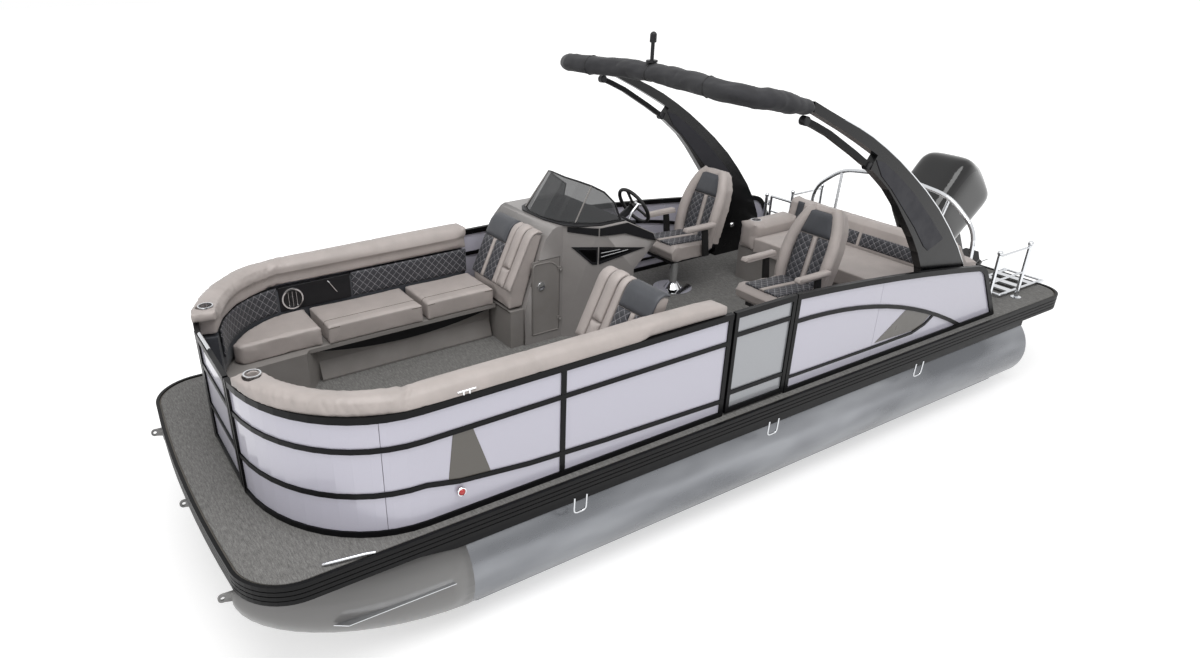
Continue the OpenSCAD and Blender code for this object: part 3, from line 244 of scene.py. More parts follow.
panel_white = pearl("pearl_white_panel", "#C3C1CE", "#CFCDD9", 0.1)
panel_silver = pearl("pearl_silver_panel", "#9C9EA2", "#ABADB1", 0.35)
moulding = moulded("moulded_taupe_plastic", "#8C8885", "#817D7A", 0.5)
gelcoat = moulded("taupe_gelcoat", "#95918F", "#8D8987", 0.3, 2.5, 0.04)
dash_black = moulded("black_dash_plastic", "#1B1B1E", "#141416", 0.45, dull=0.3)
soft_black = moulded("soft_grip_plastic", "#121213", "#0D0D0E", 0.55, 1.2, 0.2)
rubber = moulded("black_extruded_rubber", "#0A0A0B", "#060607", 0.45, 2.0, 0.15, 0.18)
deck_edge = moulded("sealed_deck_board", "#5D5851", "#4C4842", 0.6)
red_lens = coated("red_lens", "#B3151A", 0.12, coat=0.6)
green_lens = coated("green_lens", "#0F7A3A", 0.12, coat=0.6)


def smoked_acrylic():
    material, tree, shader, place = finish("smoked_acrylic", "#1B1D20", 0.05, 0.0, Alpha=0.62,
                                           Coat_Weight=0.5)
    haze = noise(tree, place, 140, 3.0)
    tree.links.new(ramp(tree, haze, [(0.3, 0.04), (0.8, 0.09)]), shader.inputs["Roughness"])
    return material


glass = smoked_acrylic()
print("paints and plastics ready")

# %% [markdown]
# ## Woven floor
# The deck is covered with woven vinyl. Its real yarn is about 1.5 mm thick, too fine to show
# at the size of a boat, so the weave is drawn 6 mm wide, with slubs of lighter and darker yarn.

# %% Woven vinyl


def woven_vinyl():
    material, tree, shader, place = finish("woven_vinyl_floor", "#7F7E7B", 0.85)
    yarn = 2 * math.pi / (6 * MM)
    waves = [add_node(tree, "ShaderNodeTexWave", {"Vector": place, "Scale": yarn / 20,
                      "Distortion": 1.5, "Detail": 2.0, "Detail Scale": 3.0},
                      bands_direction=axis).outputs["Fac"] for axis in ("X", "Y")]
    cross = maths(tree, "MULTIPLY", *waves)
    slub = noise(tree, place, 5, 3.0, 0.7)
    streak = add_node(tree, "ShaderNodeMapping", {"Vector": place, "Scale": (1, 0.18, 1)})
    long_slub = noise(tree, streak.outputs[0], 9, 3.0, 0.7)
    half = maths(tree, "MULTIPLY", maths(tree, "ADD", slub, long_slub), 0.5)
    tree.links.new(ramp(tree, half, [(0.38, "#585755"), (0.5, "#706F6D"), (0.64, "#8B8A87")]),
                   shader.inputs["Base Color"])
    bumps(tree, shader, cross, 0.8, 0.6)
    return material


floor_weave = woven_vinyl()
print("floor ready")

# %% [markdown]
# ## Marine vinyl
# The upholstery is coated vinyl with a pressed leather grain, warm taupe-grey on the seats and
# charcoal on the quilted parts. Real grain is about 1.2 mm; it is drawn at 2.5 mm so that it
# shows. Quilted pieces have a UV map in metres, and the pale stitching follows it: two sets of
# diagonal lines, broken into stitches.

# %% Vinyl, stitching and canvas
DIAMOND = 0.062


def vinyl(name, code, dark, roughness=0.46):
    material, tree, shader, place = finish(name, code, roughness, Sheen_Weight=0.08)
    cells = add_node(tree, "ShaderNodeTexVoronoi", {"Vector": place, "Scale": 1 / (2.5 * MM)},
                     feature="DISTANCE_TO_EDGE")
    grain = ramp(tree, cells.outputs["Distance"], [(0.0, 0.0), (0.25, 1.0)])
    cloud = noise(tree, place, 180, 4.0, 0.6)
    tree.links.new(ramp(tree, cloud, [(0.3, dark), (0.7, code)]), shader.inputs["Base Color"])
    bumps(tree, shader, grain, 0.18, 0.5)
    return material


def quilted(name, code, stitch_code):
    """Vinyl sewn in diamonds: each set of diagonal lines is broken into stitches."""
    material, tree, shader, place = finish(name, code, 0.5, Sheen_Weight=0.1)
    uv = add_node(tree, "ShaderNodeUVMap", uv_map="quilt").outputs[0]
    axes = add_node(tree, "ShaderNodeSeparateXYZ", {0: uv})
    diagonals = [maths(tree, "MULTIPLY", maths(tree, way, axes.outputs[0], axes.outputs[1]),
                       1 / DIAMOND) for way in ("ADD", "SUBTRACT")]
    lines = []
    for across, along in (diagonals, diagonals[::-1]):
        off = maths(tree, "SUBTRACT", maths(tree, "WRAP", across, 1.0, 0.0), 0.5)
        near = maths(tree, "GREATER_THAN", maths(tree, "ABSOLUTE", off), 0.455)
        wave = maths(tree, "SINE", maths(tree, "MULTIPLY", along, 34.0))
        gap = maths(tree, "GREATER_THAN", wave, -0.5)
        lines.append(maths(tree, "MULTIPLY", near, gap))
    stitch = maths(tree, "MAXIMUM", *lines)
    cells = add_node(tree, "ShaderNodeTexVoronoi", {"Vector": place, "Scale": 1 / (2.5 * MM)},
                     feature="DISTANCE_TO_EDGE")
    colour = add_node(tree, "ShaderNodeMix", {0: stitch, 6: tone(code), 7: tone(stitch_code)},
                      data_type="RGBA")
    tree.links.new(colour.outputs[2], shader.inputs["Base Color"])
    bumps(tree, shader, cells.outputs["Distance"], 0.15, 0.4)
    return material


def canvas(name, code, dark):
    material, tree, shader, place = finish(name, code, 0.88, Sheen_Weight=0.15)
    yarn = noise(tree, place, 3, 2.0, 0.8)
    fade = noise(tree, place, 150, 5.0, 0.65)
    tree.links.new(ramp(tree, fade, [(0.3, dark), (0.72, code)]), shader.inputs["Base Color"])
    bumps(tree, shader, yarn, 0.5, 0.5)
    return material


taupe_vinyl = vinyl("taupe_marine_vinyl", "#B3AAA6", "#A69E9A")
charcoal_vinyl = vinyl("charcoal_marine_vinyl", "#45474C", "#3A3C41")
quilt_vinyl = quilted("quilted_charcoal_vinyl", "#34353A", "#98969A")
# The piping's dark brown is partly the cord's own colour and partly painted shade of the seam it
# lies in.
seam_shade_piping_vinyl = vinyl("painted_seam_shade_and_piping", "#5F594F", "#554F46")
canvas_cloth = canvas("charcoal_boat_canvas", "#2D2D30", "#222225")
print("upholstery ready")

# %% [markdown]
# ## Finish the CAD parts
# Each hard part takes the finish that its real piece has.

# %% Assign finishes
finishes = {
    aluminium: ["port_pontoon", "centre_pontoon", "starboard_pontoon", "motor_pod"],
    mill_aluminium: ["tube_risers", "cross_members"],
    bright_aluminium: ["splash_fins"],
    black_coat: ["side_skirts", "port_fence", "starboard_fence", "bow_gate", "side_gate",
                 "bimini_bows"],
    deck_edge: ["deck"],
    floor_weave: ["vinyl_floor"],
    rubber: ["rub_rail"],
    panel_white: ["port_panels", "starboard_panels", "gate_panels_bow"],
    panel_silver: ["gate_panels_side"],
    accent_paint: ["side_accents"],
    stainless: ["stern_gate", "cup_holders", "stern_rails", "boarding_ladder"],
    moulding: ["port_lounge_base", "starboard_lounge_base", "stern_lounge_base",
               "cabinet_door"],
    gelcoat: ["helm_console"],
    glass: ["windscreen"],
    soft_black: ["steering_wheel"],
    chrome: ["chair_pedestals"],
    arch_gloss: ["arch_frame"],
    arch_matt: ["arch_panels"],
    dash_black: ["mast_light"],
    motor_black: ["motor_bracket", "motor_swivel", "motor_leg", "propeller"],
    cowl_gloss: ["motor_cowl"],
    nose_paint: ["nose_cones"],
    taupe_vinyl: ["port_lounge_back", "starboard_lounge_back", "corner_cushions",
                  "port_seat_fore", "port_seat_aft", "starboard_seat_fore",
                  "starboard_seat_aft", "stern_lounge_cushion", "stern_lounge_back",
                  "sun_pad", "port_chaise_back", "starboard_chaise_back", "helm_seat",
                  "helm_back", "companion_seat", "companion_back"],
    canvas_cloth: ["bimini_boot"],
}
for material, names in finishes.items():
    for name in names:
        slots = nodes[name].data.materials
        slots.clear()
        slots.append(material)
unfinished = set(nodes) - {n for names in finishes.values() for n in names}
print("unfinished:", sorted(unfinished))

# %% [markdown]
# ## Tools for sewn pieces
# A cushion starts as a merged copy of its CAD solid, sometimes cut in two where two pads meet.
# A voxel remesh gives it even cloth, its faces step back a little, and Blender's Cloth blows it
# up like a real foam pad pressing on its cover. All covers are blown up in one run of twenty
# frames, which is faster than one at a time.

# %% Piece helpers
def settle(piece, body, replaced=()):
    """Hides the CAD nodes that the piece stands for, and lets it ride on its body."""
    if replaced:
        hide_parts(*replaced)
    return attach(piece, body)


def placed(name, data):
    """A new object in the scene."""
    obj = bpy.data.objects.new(name, data)
    bpy.context.scene.collection.objects.link(obj)
    return obj


def piece_from(name, bm, material, smooth=True):
    """A bmesh as an object in the scene."""
    for face in bm.faces:
        face.smooth = smooth
    mesh = bpy.data.meshes.new(name)
    bm.to_mesh(mesh)
    bm.free()
    mesh.materials.append(material)
    return placed(name, mesh)


def ease(piece, width_mm, segments):
    """Rounds a hard piece's edges."""
    edge = piece.modifiers.new("edge", "BEVEL")
    edge.width = width_mm * MM
    edge.segments = segments
    edge.limit_method = "ANGLE"


def cad_copy(node):
    """A CAD node's mesh as a bmesh with its loose triangles merged."""
    bm = bmesh.new()
    bm.from_mesh(nodes[node].data)
    bmesh.ops.remove_doubles(bm, verts=bm.verts, dist=0.1 * MM)
    return bm


def keep_below(bm, at, normal):
    """Cuts a bmesh with a plane, drops what lies on the normal's side and closes the cut."""
    everything = bm.verts[:] + bm.edges[:] + bm.faces[:]
    bmesh.ops.bisect_plane(bm, geom=everything, plane_co=at, plane_no=normal, clear_outer=True)
    bmesh.ops.holes_fill(bm, edges=[e for e in bm.edges if e.is_boundary], sides=0)
    return bm


def islands(node):
    """The separate solids of a CAD node, each as (bmesh, low corner, high corner)."""
    bm = cad_copy(node)
    left = set(bm.verts)
    groups = []
    for seed in bm.verts:
        if seed in left:
            stack, group = [seed], set()
            left.discard(seed)
            while stack:
                vert = stack.pop()
                group.add(vert.index)
                for edge in vert.link_edges:
                    other = edge.other_vert(vert)
                    if other in left:
                        left.discard(other)
                        stack.append(other)
            groups.append(group)
    bm.free()
    found = []
    for group in groups:
        part = cad_copy(node)
        bmesh.ops.delete(part, geom=[v for v in part.verts if v.index not in group],
                         context="VERTS")
        corners = [[f(v.co[i] for v in part.verts) for i in range(3)] for f in (min, max)]
        found.append((part, Vector(corners[0]), Vector(corners[1])))
    return found


print("piece helpers ready")

# %% Cushion helpers
CLOTH_FRAMES = 20
CLOTH_PRESSURE = 4.0
LIMIT_REACH = 0.2       # a cover farther than this from its solid isn't held back
covers = []


def bake(piece):
    """Applies a piece's modifiers to its mesh."""
    graph = bpy.context.evaluated_depsgraph_get()
    mesh = bpy.data.meshes.new_from_object(piece.evaluated_get(graph))
    piece.modifiers.clear()
    piece.data = mesh


def even_mesh(piece, size_mm):
    """Remeshes a piece into even faces."""
    remesh = piece.modifiers.new("voxels", "REMESH")
    remesh.mode = "VOXEL"
    remesh.voxel_size = size_mm * MM
    bake(piece)


def vertex_normals(mesh):
    return [v.normal.copy() for v in mesh.vertices]


def cushion(name, bm, material, body, replaced=(), voxel=16, slim=9, cap=22,
            proud=6, grooves=()):
    """A sewn cushion in the shape of a closed bmesh, waiting to be blown up."""
    bmesh.ops.recalc_face_normals(bm, faces=bm.faces)
    limit = BVHTree.FromBMesh(bm)
    piece = piece_from(name, bm, material)
    even_mesh(piece, voxel)
    for vert, normal in zip(piece.data.vertices, vertex_normals(piece.data)):
        vert.co -= normal * slim * MM
    settle(piece, body, replaced)
    covers.append((piece, limit, cap * MM, proud * MM, grooves))
    return piece


def blow_up():
    """Runs the cloth of every waiting cover at once and applies it."""
    rest = {}
    for piece, *_ in covers:
        rest[piece.name] = [v.co.copy() for v in piece.data.vertices]
        cloth = piece.modifiers.new("foam", "CLOTH")
        cloth.settings.quality = 4
        cloth.settings.use_pressure = True
        cloth.settings.uniform_pressure_force = CLOTH_PRESSURE
        cloth.settings.effector_weights.gravity = 0
        cloth.point_cache.frame_start = 1
        cloth.point_cache.frame_end = CLOTH_FRAMES
    for moment in range(1, CLOTH_FRAMES + 1):
        bpy.context.scene.frame_set(moment)
    for piece, limit, cap, proud, grooves in covers:
        bake(piece)
        mesh = piece.data
        for vert, start in zip(mesh.vertices, rest[piece.name]):
            move = vert.co - start
            if move.length > cap:
                vert.co = start + move * (cap / move.length)
            near, normal, _, gap = limit.find_nearest(vert.co)
            out = (vert.co - near).dot(normal)
            room = 0 if normal.z < -0.5 else proud
            if out > room and gap < LIMIT_REACH:
                vert.co -= normal * (out - room)
        normals = vertex_normals(mesh)
        for at, across, width, depth in grooves:
            at, across = Vector(at), Vector(across).normalized()
            for vert, normal in zip(mesh.vertices, normals):
                off = (vert.co - at).dot(across) / (width * MM)
                if abs(off) < 3:
                    vert.co -= normal * depth * MM * math.exp(-off * off)
        mesh.polygons.foreach_set("use_smooth", [True] * len(mesh.polygons))
        round_off = piece.modifiers.new("round", "SUBSURF")
        round_off.levels = round_off.render_levels = 1
    print("covers:", len(covers), "largest", max(len(cover[0].data.vertices)
                                                 for cover in covers))
    covers.clear()


print("cushion helpers ready")

# %% [markdown]
# ## Piping and pipes
# Piping is a thin cord sewn into a seam. Its dark colour is partly the cord's own and partly
# painted shade of the seam. It is found by cutting a copy of the finished cushion with a plane, so
# it always lies in the cover, whatever the cloth has done. Bent metal bars are made in the same
# way: a line of points is given a round section and becomes a mesh.

# %% Bars and piping


def shown_mesh(obj):
    """An object's shape as a bmesh, with its modifiers."""
    graph = bpy.context.evaluated_depsgraph_get()
    bm = bmesh.new()
    bm.from_mesh(obj.evaluated_get(graph).to_mesh())
    return bm


def bars(name, lines, radius_mm, material, body, closed=False, sides=3):
    """Round bars or cords along lines of points, as one mesh."""
    curve = bpy.data.curves.new(name, "CURVE")
    curve.dimensions = "3D"
    curve.bevel_depth = radius_mm * MM
    curve.bevel_resolution = sides
    curve.use_fill_caps = True
    for line in lines:
        spline = curve.splines.new("POLY")
        spline.points.add(len(line) - 1)
        for point, at in zip(spline.points, line):
            point.co = (*at, 1)
        spline.use_cyclic_u = closed
        spline.use_smooth = True
    draft = placed(name, curve)
    bm = shown_mesh(draft)
    bpy.data.objects.remove(draft)
    bmesh.ops.remove_doubles(bm, verts=bm.verts, dist=0.02 * MM)
    bmesh.ops.recalc_face_normals(bm, faces=bm.faces)
    piece = piece_from(name, bm, material)
    piece.data.set_sharp_from_angle(angle=math.radians(50))
    return settle(piece, body)


def rounded(points, radius, steps=6):
    """A line of points with its corners rounded to a radius."""
    points = [Vector(p) for p in points]
    line = [points[0]]
    for before, corner, after in zip(points, points[1:], points[2:]):
        a = corner + (before - corner).normalized() * radius
        b = corner + (after - corner).normalized() * radius
        for k in range(steps + 1):
            t = k / steps
            line.append((1 - t) ** 2 * a + 2 * t * (1 - t) * corner + t * t * b)
    return line + [points[-1]]


def plate(name, points, out, thick_mm, material, body, soft_mm=2.0):
    """A flat plate: its outline as points, pulled out by its thickness, with eased edges."""
    bm = bmesh.new()
    face = bm.faces.new([bm.verts.new(Vector(p)) for p in points])
    pulled = bmesh.ops.extrude_face_region(bm, geom=[face])["geom"]
    move = Vector(out).normalized() * thick_mm * MM
    bmesh.ops.translate(bm, verts=[v for v in pulled if isinstance(v, bmesh.types.BMVert)],
                        vec=move)
    bmesh.ops.recalc_face_normals(bm, faces=bm.faces)
    piece = piece_from(name, bm, material, smooth=False)
    ease(piece, soft_mm, 3)
    return settle(piece, body)


def turned(name, profile_mm, at, axis, material, body, steps=32):
    """A lathe-turned piece: (radius, height) pairs in mm spun about an axis from a point."""
    bm = bmesh.new()
    verts = [bm.verts.new((r * MM, 0, h * MM)) for r, h in profile_mm]
    edges = [bm.edges.new(pair) for pair in zip(verts, verts[1:])]
    bmesh.ops.spin(bm, geom=verts + edges, cent=(0, 0, 0), axis=(0, 0, 1), dvec=(0, 0, 0),
                   angle=2 * math.pi, steps=steps, use_merge=True, use_duplicate=False)
    bmesh.ops.remove_doubles(bm, verts=bm.verts, dist=0.02 * MM)
    bmesh.ops.recalc_face_normals(bm, faces=bm.faces)
    turn = Vector((0, 0, 1)).rotation_difference(Vector(axis)).to_matrix().to_4x4()
    bmesh.ops.transform(bm, verts=bm.verts, matrix=Matrix.Translation(Vector(at)) @ turn)
    piece = piece_from(name, bm, material)
    piece.data.set_sharp_from_angle(angle=math.radians(38))
    return settle(piece, body)


def smooth_copy(name, node, material, body, crease_deg):
    """A hard CAD part again, with its curves shaded smooth up to an angle."""
    piece = piece_from(name, cad_copy(node), material)
    piece.data.set_sharp_from_angle(angle=math.radians(crease_deg))
    return settle(piece, body, (node,))


def seam_lines(piece, at, across, keep):
    """The lines where a plane cuts a piece, where keep(point) is true."""
    bm = shown_mesh(piece)
    everything = bm.verts[:] + bm.edges[:] + bm.faces[:]
    cut = bmesh.ops.bisect_plane(bm, geom=everything, plane_co=at, plane_no=across)["geom_cut"]
    bm.edges.index_update()
    left = {e.index: e for e in cut if isinstance(e, bmesh.types.BMEdge)
            and all(keep(v.co) for v in e.verts)}
    lines = []
    while left:
        edge = left.pop(next(iter(left)))
        line = list(edge.verts)
        for forwards in (True, False):
            while True:
                tip = line[-1] if forwards else line[0]
                step = next((e for e in tip.link_edges if e.index in left), None)
                if step is None:
                    break
                del left[step.index]
                line.insert(len(line) if forwards else 0, step.other_vert(tip))
        lines.append([v.co.copy() for v in line])
    bm.free()
    return [line for line in lines if len(line) > 3]


def piped(name, piece, cuts, body, radius_mm=2.6):
    """Piping on a piece, along the planes of cuts: (at, across, keep). Its dark colour is partly
    painted seam shade.
    """
    lines = [line for at, across, keep in cuts for line in seam_lines(piece, at, across, keep)]
    if lines:
        bars(name, lines, radius_mm, seam_shade_piping_vinyl, body)


print("bars and piping ready")

# %% [markdown]
# ## Quilted and plain panels
# A panel is a grid laid over a surface that a small function describes, from its lower left to
# its upper right. Its rim sinks into the cushion under it, its middle rises, and a quilted one
# swells between the rows of stitches. Its UV map is in metres, so the stitches keep their size.

# %% Panels


def panel(name, surface, width, height, material, body, rise=10, quilt=False, step=12,
          soft_edge=14, proud=4):
    """A padded panel on surface(u, v), which gives a point and the way out."""
    across, along = (max(4, round(d / (step * MM))) for d in (width, height))
    bm = bmesh.new()
    uv = bm.loops.layers.uv.new("quilt")
    bmesh.ops.create_grid(bm, x_segments=across, y_segments=along, size=0.5)
    spots = {}
    for vert in bm.verts:
        u, v = vert.co.x + 0.5, vert.co.y + 0.5
        spots[vert] = (u * width, v * height)
        at, out = surface(u, v)
        rim = min(u * width, (1 - u) * width, v * height, (1 - v) * height)
        lift = rise * MM * (1 - math.exp(-rim / (soft_edge * MM)))
        if quilt:
            puff = abs(math.sin(math.pi * (u * width + v * height) / DIAMOND)
                       * math.sin(math.pi * (u * width - v * height) / DIAMOND)) ** 0.5
            lift *= 0.45 + 0.55 * puff
        vert.co = Vector(at) + Vector(out).normalized() * (lift + proud * MM)
    for face in bm.faces:
        for loop in face.loops:
            loop[uv].uv = spots[loop.vert]
    middle = surface(0.5, 0.5)[1]
    bm.normal_update()
    if sum(f.normal.dot(Vector(middle)) for f in bm.faces) < 0:
        bmesh.ops.reverse_faces(bm, faces=bm.faces)
    piece = piece_from(name, bm, material)
    wall = piece.modifiers.new("wall", "SOLIDIFY")
    wall.thickness = (8 + proud) * MM
    wall.offset = -1
    settle(piece, body)
    return piece


def flat_patch(low_left, low_right, up_left, up_right, out):
    """A surface between four corners."""
    corners = [Vector(p) for p in (low_left, low_right, up_left, up_right)]
    out = Vector(out).normalized()

    def surface(u, v):
        low = corners[0].lerp(corners[1], u)
        high = corners[2].lerp(corners[3], u)
        return low.lerp(high, v), out
    return surface


print("panels ready")

# %% [markdown]
# ## Bow lounges: backrests and bolsters
# The backrest has a fat taupe bolster on top, sewn in sections, and charcoal quilted panels
# below it. Between the two quilts is a black recess with a loudspeaker. The CAD solid holds the
# bolster and the backrest in one, so it is cut in two at the bolster's underside.

# %% Backrests, bolsters and quilts
BOLSTER_Z = 1.468
SEAT_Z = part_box("port_seat_fore")[1].z
BACK_Y = 1.061           # front of the backrest, from the centreline
STRAIGHT_X = 2.610       # where the fence starts to curve
CORNER_Y = 0.290
BACK_CORNER = (0.636, 0.771)   # half-axes of the backrest round the corner
turns = np.linspace(math.pi / 2, 0.3, 60)
arc_points = np.column_stack([STRAIGHT_X + BACK_CORNER[0] * np.cos(turns),
                              CORNER_Y + BACK_CORNER[1] * np.sin(turns)])
arc_steps = np.concatenate([[0], np.cumsum(np.linalg.norm(np.diff(arc_points, axis=0), axis=1))])


def back_face(side, run, z):
    """A point on the backrest's face, run metres forward of the bend, and the way out of it."""
    if run <= 0:
        return Vector((STRAIGHT_X + run, side * BACK_Y, z)), Vector((0, -side, 0))
    x = np.interp(run, arc_steps, arc_points[:, 0])
    y = np.interp(run, arc_steps, arc_points[:, 1])
    out = Vector(((STRAIGHT_X - x) / BACK_CORNER[0] ** 2,
                  side * (CORNER_Y - y) / BACK_CORNER[1] ** 2, 0))
    return Vector((x, side * y, z)), out


def back_patch(side, run0, run1, z0, z1):
    """A patch of the backrest's face between two stations and two heights."""
    def surface(u, v):
        return back_face(side, run0 + (run1 - run0) * u, z0 + (z1 - z0) * v)
    return surface


LOUNGE_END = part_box("port_seat_aft")[0].x
bolster_seams = (1.171, 1.90, 2.597, 3.02)
for side, name in SIDES:
    node = name + "_lounge_back"
    cut_z = Vector((0, 0, BOLSTER_Z))
    seams = [((x, 0, 0), (1, 0, 0), 9, 4) for x in bolster_seams]
    cushion(name + "_bolster", keep_below(cad_copy(node), cut_z, (0, 0, -1)), taupe_vinyl,
            "hull", (node,), voxel=17, cap=24, grooves=seams)
    cushion(name + "_backrest", keep_below(cad_copy(node), cut_z, (0, 0, 1)), charcoal_vinyl,
            "hull", (node,), voxel=20, slim=10, cap=10, proud=0)
    for part, run0, run1 in (("aft", LOUNGE_END + 0.02 - STRAIGHT_X, -0.49),
                             ("fore", 0.09, 0.86)):
        surface = back_patch(side, run0, run1, SEAT_Z + 0.004, BOLSTER_Z + 0.008)
        panel(name + "_back_quilt_" + part, surface, run1 - run0, BOLSTER_Z - SEAT_Z,
              quilt_vinyl, "hull", rise=10, quilt=True, proud=0)
print("lounge backs:", len(covers), "covers waiting")

# %% [markdown]
# ## Lounge seats
# Each seat pad has a rounded front edge and a line of piping along its top, a hand's width from
# the front. The four straight pads are the lids of the bins, so each rides on its own body.

# %% Seat pads
FRONT_Y = 0.610          # front of the pads, from the centreline
WELT_Y = 0.735           # the line of piping along their tops
seats = {}
for side, name in SIDES:
    for part in ("fore", "aft"):
        node = name + "_seat_" + part
        body = name + "_lid_" + part
        seats[node] = cushion(name + "_seat_pad_" + part, cad_copy(node), taupe_vinyl, body,
                              (node,), voxel=14, slim=4, cap=18,
                              proud=5, grooves=[((0, side * WELT_Y, 0), (0, 1, 0), 8, 3)])
for part, low, high in islands("corner_cushions"):
    cushion(("port" if low.y > 0 else "starboard") + "_corner_pad", part, taupe_vinyl, "hull",
            ("corner_cushions",), voxel=14, slim=4, cap=18, proud=5)
print("seat pads:", len(covers), "covers waiting")

# %% [markdown]
# ## Chaise backs
# A reclined back ends each bow lounge. Its charcoal part has a smooth headrest above two quilts
# and a taupe stripe, and on its inboard side are fat taupe ribs. A moulded foot carries it.

# %% Chaise backs
CHAISE_FOOT_Z = 1.1397
LOOK_AHEAD = 0.02        # step up the profile that gives its slope
chaise_line = [(1.095, 1.300), (0.924, 1.660), (0.905, 1.695), (0.880, 1.720), (0.845, 1.732),
               (0.805, 1.722)]
steps = np.concatenate([[0], np.cumsum([math.dist(a, b) for a, b in
                                        zip(chaise_line, chaise_line[1:])])])


def chaise_patch(side, y0, y1, run0, run1):
    """A patch of the chaise's face between two distances up its profile."""
    def surface(u, v):
        run = run0 + (run1 - run0) * v
        x = np.interp(run, steps, [p[0] for p in chaise_line])
        z = np.interp(run, steps, [p[1] for p in chaise_line])
        x2 = np.interp(run + LOOK_AHEAD, steps, [p[0] for p in chaise_line])
        z2 = np.interp(run + LOOK_AHEAD, steps, [p[1] for p in chaise_line])
        if run + LOOK_AHEAD > steps[-1]:
            x2, z2 = x - 0.02, z - 0.008
        return Vector((x, side * (y0 + (y1 - y0) * u), z)), Vector((z2 - z, 0, x - x2))
    return surface


HEAD_RUN = 0.315
# name, outboard and inboard edges, lower and upper ends, cover, slot, rise in mm, quilted
chaise_panels = [
    ("quilt_out", 1.026, 0.892, 0.0, HEAD_RUN, quilt_vinyl, "vinyl_charcoal", 12, True),
    ("stripe", 0.890, 0.846, 0.0, HEAD_RUN, taupe_vinyl, "vinyl_taupe", 13, False),
    ("quilt_in", 0.844, 0.712, 0.0, HEAD_RUN, quilt_vinyl, "vinyl_charcoal", 12, True),
    ("headrest", 1.026, 0.712, HEAD_RUN + 0.003, steps[-1], charcoal_vinyl, "vinyl_charcoal",
     14, False),
    ("border", 0.708, 0.640, 0.0, steps[-1], taupe_vinyl, "vinyl_taupe", 18, False),
    ("rib_low", 0.634, 0.530, 0.0, 0.150, taupe_vinyl, "vinyl_taupe", 26, False),
    ("rib_high", 0.634, 0.530, 0.154, steps[-1], taupe_vinyl, "vinyl_taupe", 26, False),
    ("rib_side", 0.526, 0.428, 0.0, steps[-1], taupe_vinyl, "vinyl_taupe", 20, False)]
for side, name in SIDES:
    node = name + "_chaise_back"
    cut_z = Vector((0, 0, CHAISE_FOOT_Z))
    cushion(name + "_chaise_pad", keep_below(cad_copy(node), cut_z, (0, 0, -1)), taupe_vinyl,
            "hull", (node,), voxel=16, slim=9, cap=14, proud=0)
    foot = keep_below(cad_copy(node), cut_z, (0, 0, 1))
    bmesh.ops.recalc_face_normals(foot, faces=foot.faces)
    foot_piece = piece_from(name + "_chaise_foot", foot, moulding, smooth=False)
    ease(foot_piece, 8, 3)
    settle(foot_piece, "hull", (node,))
    for part, y0, y1, run0, run1, material, slot, rise, quilt in chaise_panels:
        panel(name + "_chaise_" + part, chaise_patch(side, y0, y1, run0, run1), abs(y0 - y1),
              run1 - run0, material, "hull", rise=rise, quilt=quilt, step=10,
              soft_edge=18 if rise > 15 else 12)
print("chaises:", len(covers), "covers waiting")

# %% [markdown]
# ## Captain's chairs
# Each chair has a bucket seat on a turntable: a charcoal quilted centre with a taupe stripe,
# deep taupe wings down both sides, a headrest, and padded arms on black posts.

# %% Captain's chairs
BACK_RAKE = math.radians(14)
PEDESTAL_H, TURN_GAP, FOAM_H = 0.290, 0.005, 0.180
FLOOR_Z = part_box("vinyl_floor")[1].z


def chair_place(name):
    """The point of the floor that a chair turns about."""
    swivel = next(j for j in frame["record"]["behaviour"]["joints"]
                  if j["name"] == name + "_chair_swivel")
    return Vector((swivel["pos_m"][0], swivel["pos_m"][1], 0))


def bucket_back(name, at, body):
    """Quilts, stripe, headrest and wings on the front of a chair's back."""
    low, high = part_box(name + "_back")
    foot = Vector((at.x - 0.2153, at.y, low.z))
    up = Vector((-math.sin(BACK_RAKE), 0, math.cos(BACK_RAKE)))
    out = Vector((math.cos(BACK_RAKE), 0, math.sin(BACK_RAKE)))
    tall = (high.z - low.z) / math.cos(BACK_RAKE) - 0.03

    def spot(y, run):
        return foot + Vector((0, y, 0)) + up * run
    lower, waist = 0.035, 0.445
    for part, y0, y1, run0, run1, material, slot, quilt in (
            ("quilt_left", -0.165, -0.024, lower, waist, quilt_vinyl, "vinyl_charcoal", True),
            ("stripe", -0.021, 0.021, lower, waist, taupe_vinyl, "vinyl_taupe", False),
            ("quilt_right", 0.024, 0.165, lower, waist, quilt_vinyl, "vinyl_charcoal", True),
            ("headrest", -0.150, 0.150, waist + 0.004, tall - 0.035, charcoal_vinyl,
             "vinyl_charcoal", False)):
        narrow = 0.72 if part == "headrest" else 1.0
        panel(f"{name}_back_{part}", flat_patch(spot(y0, run0), spot(y1, run0),
              spot(y0 * narrow, run1), spot(y1 * narrow, run1), out), y1 - y0, run1 - run0,
              material, body, rise=20 if part == "headrest" else 14, quilt=quilt, step=9,
              proud=14)
    for side in (-1, 1):
        line = [spot(side * y, run) + out * lift for y, run, lift in
                ((0.188, 0.02, 0.028), (0.198, 0.14, 0.044), (0.202, 0.28, 0.044),
                 (0.196, 0.40, 0.032), (0.174, 0.51, 0.014), (0.138, 0.60, -0.004),
                 (0.092, tall - 0.02, -0.022))]
        wing = bars(f"{name}_back_wing_{'port' if side > 0 else 'starboard'}",
                    [rounded(line, 0.03)], 44, taupe_vinyl, body, sides=7)


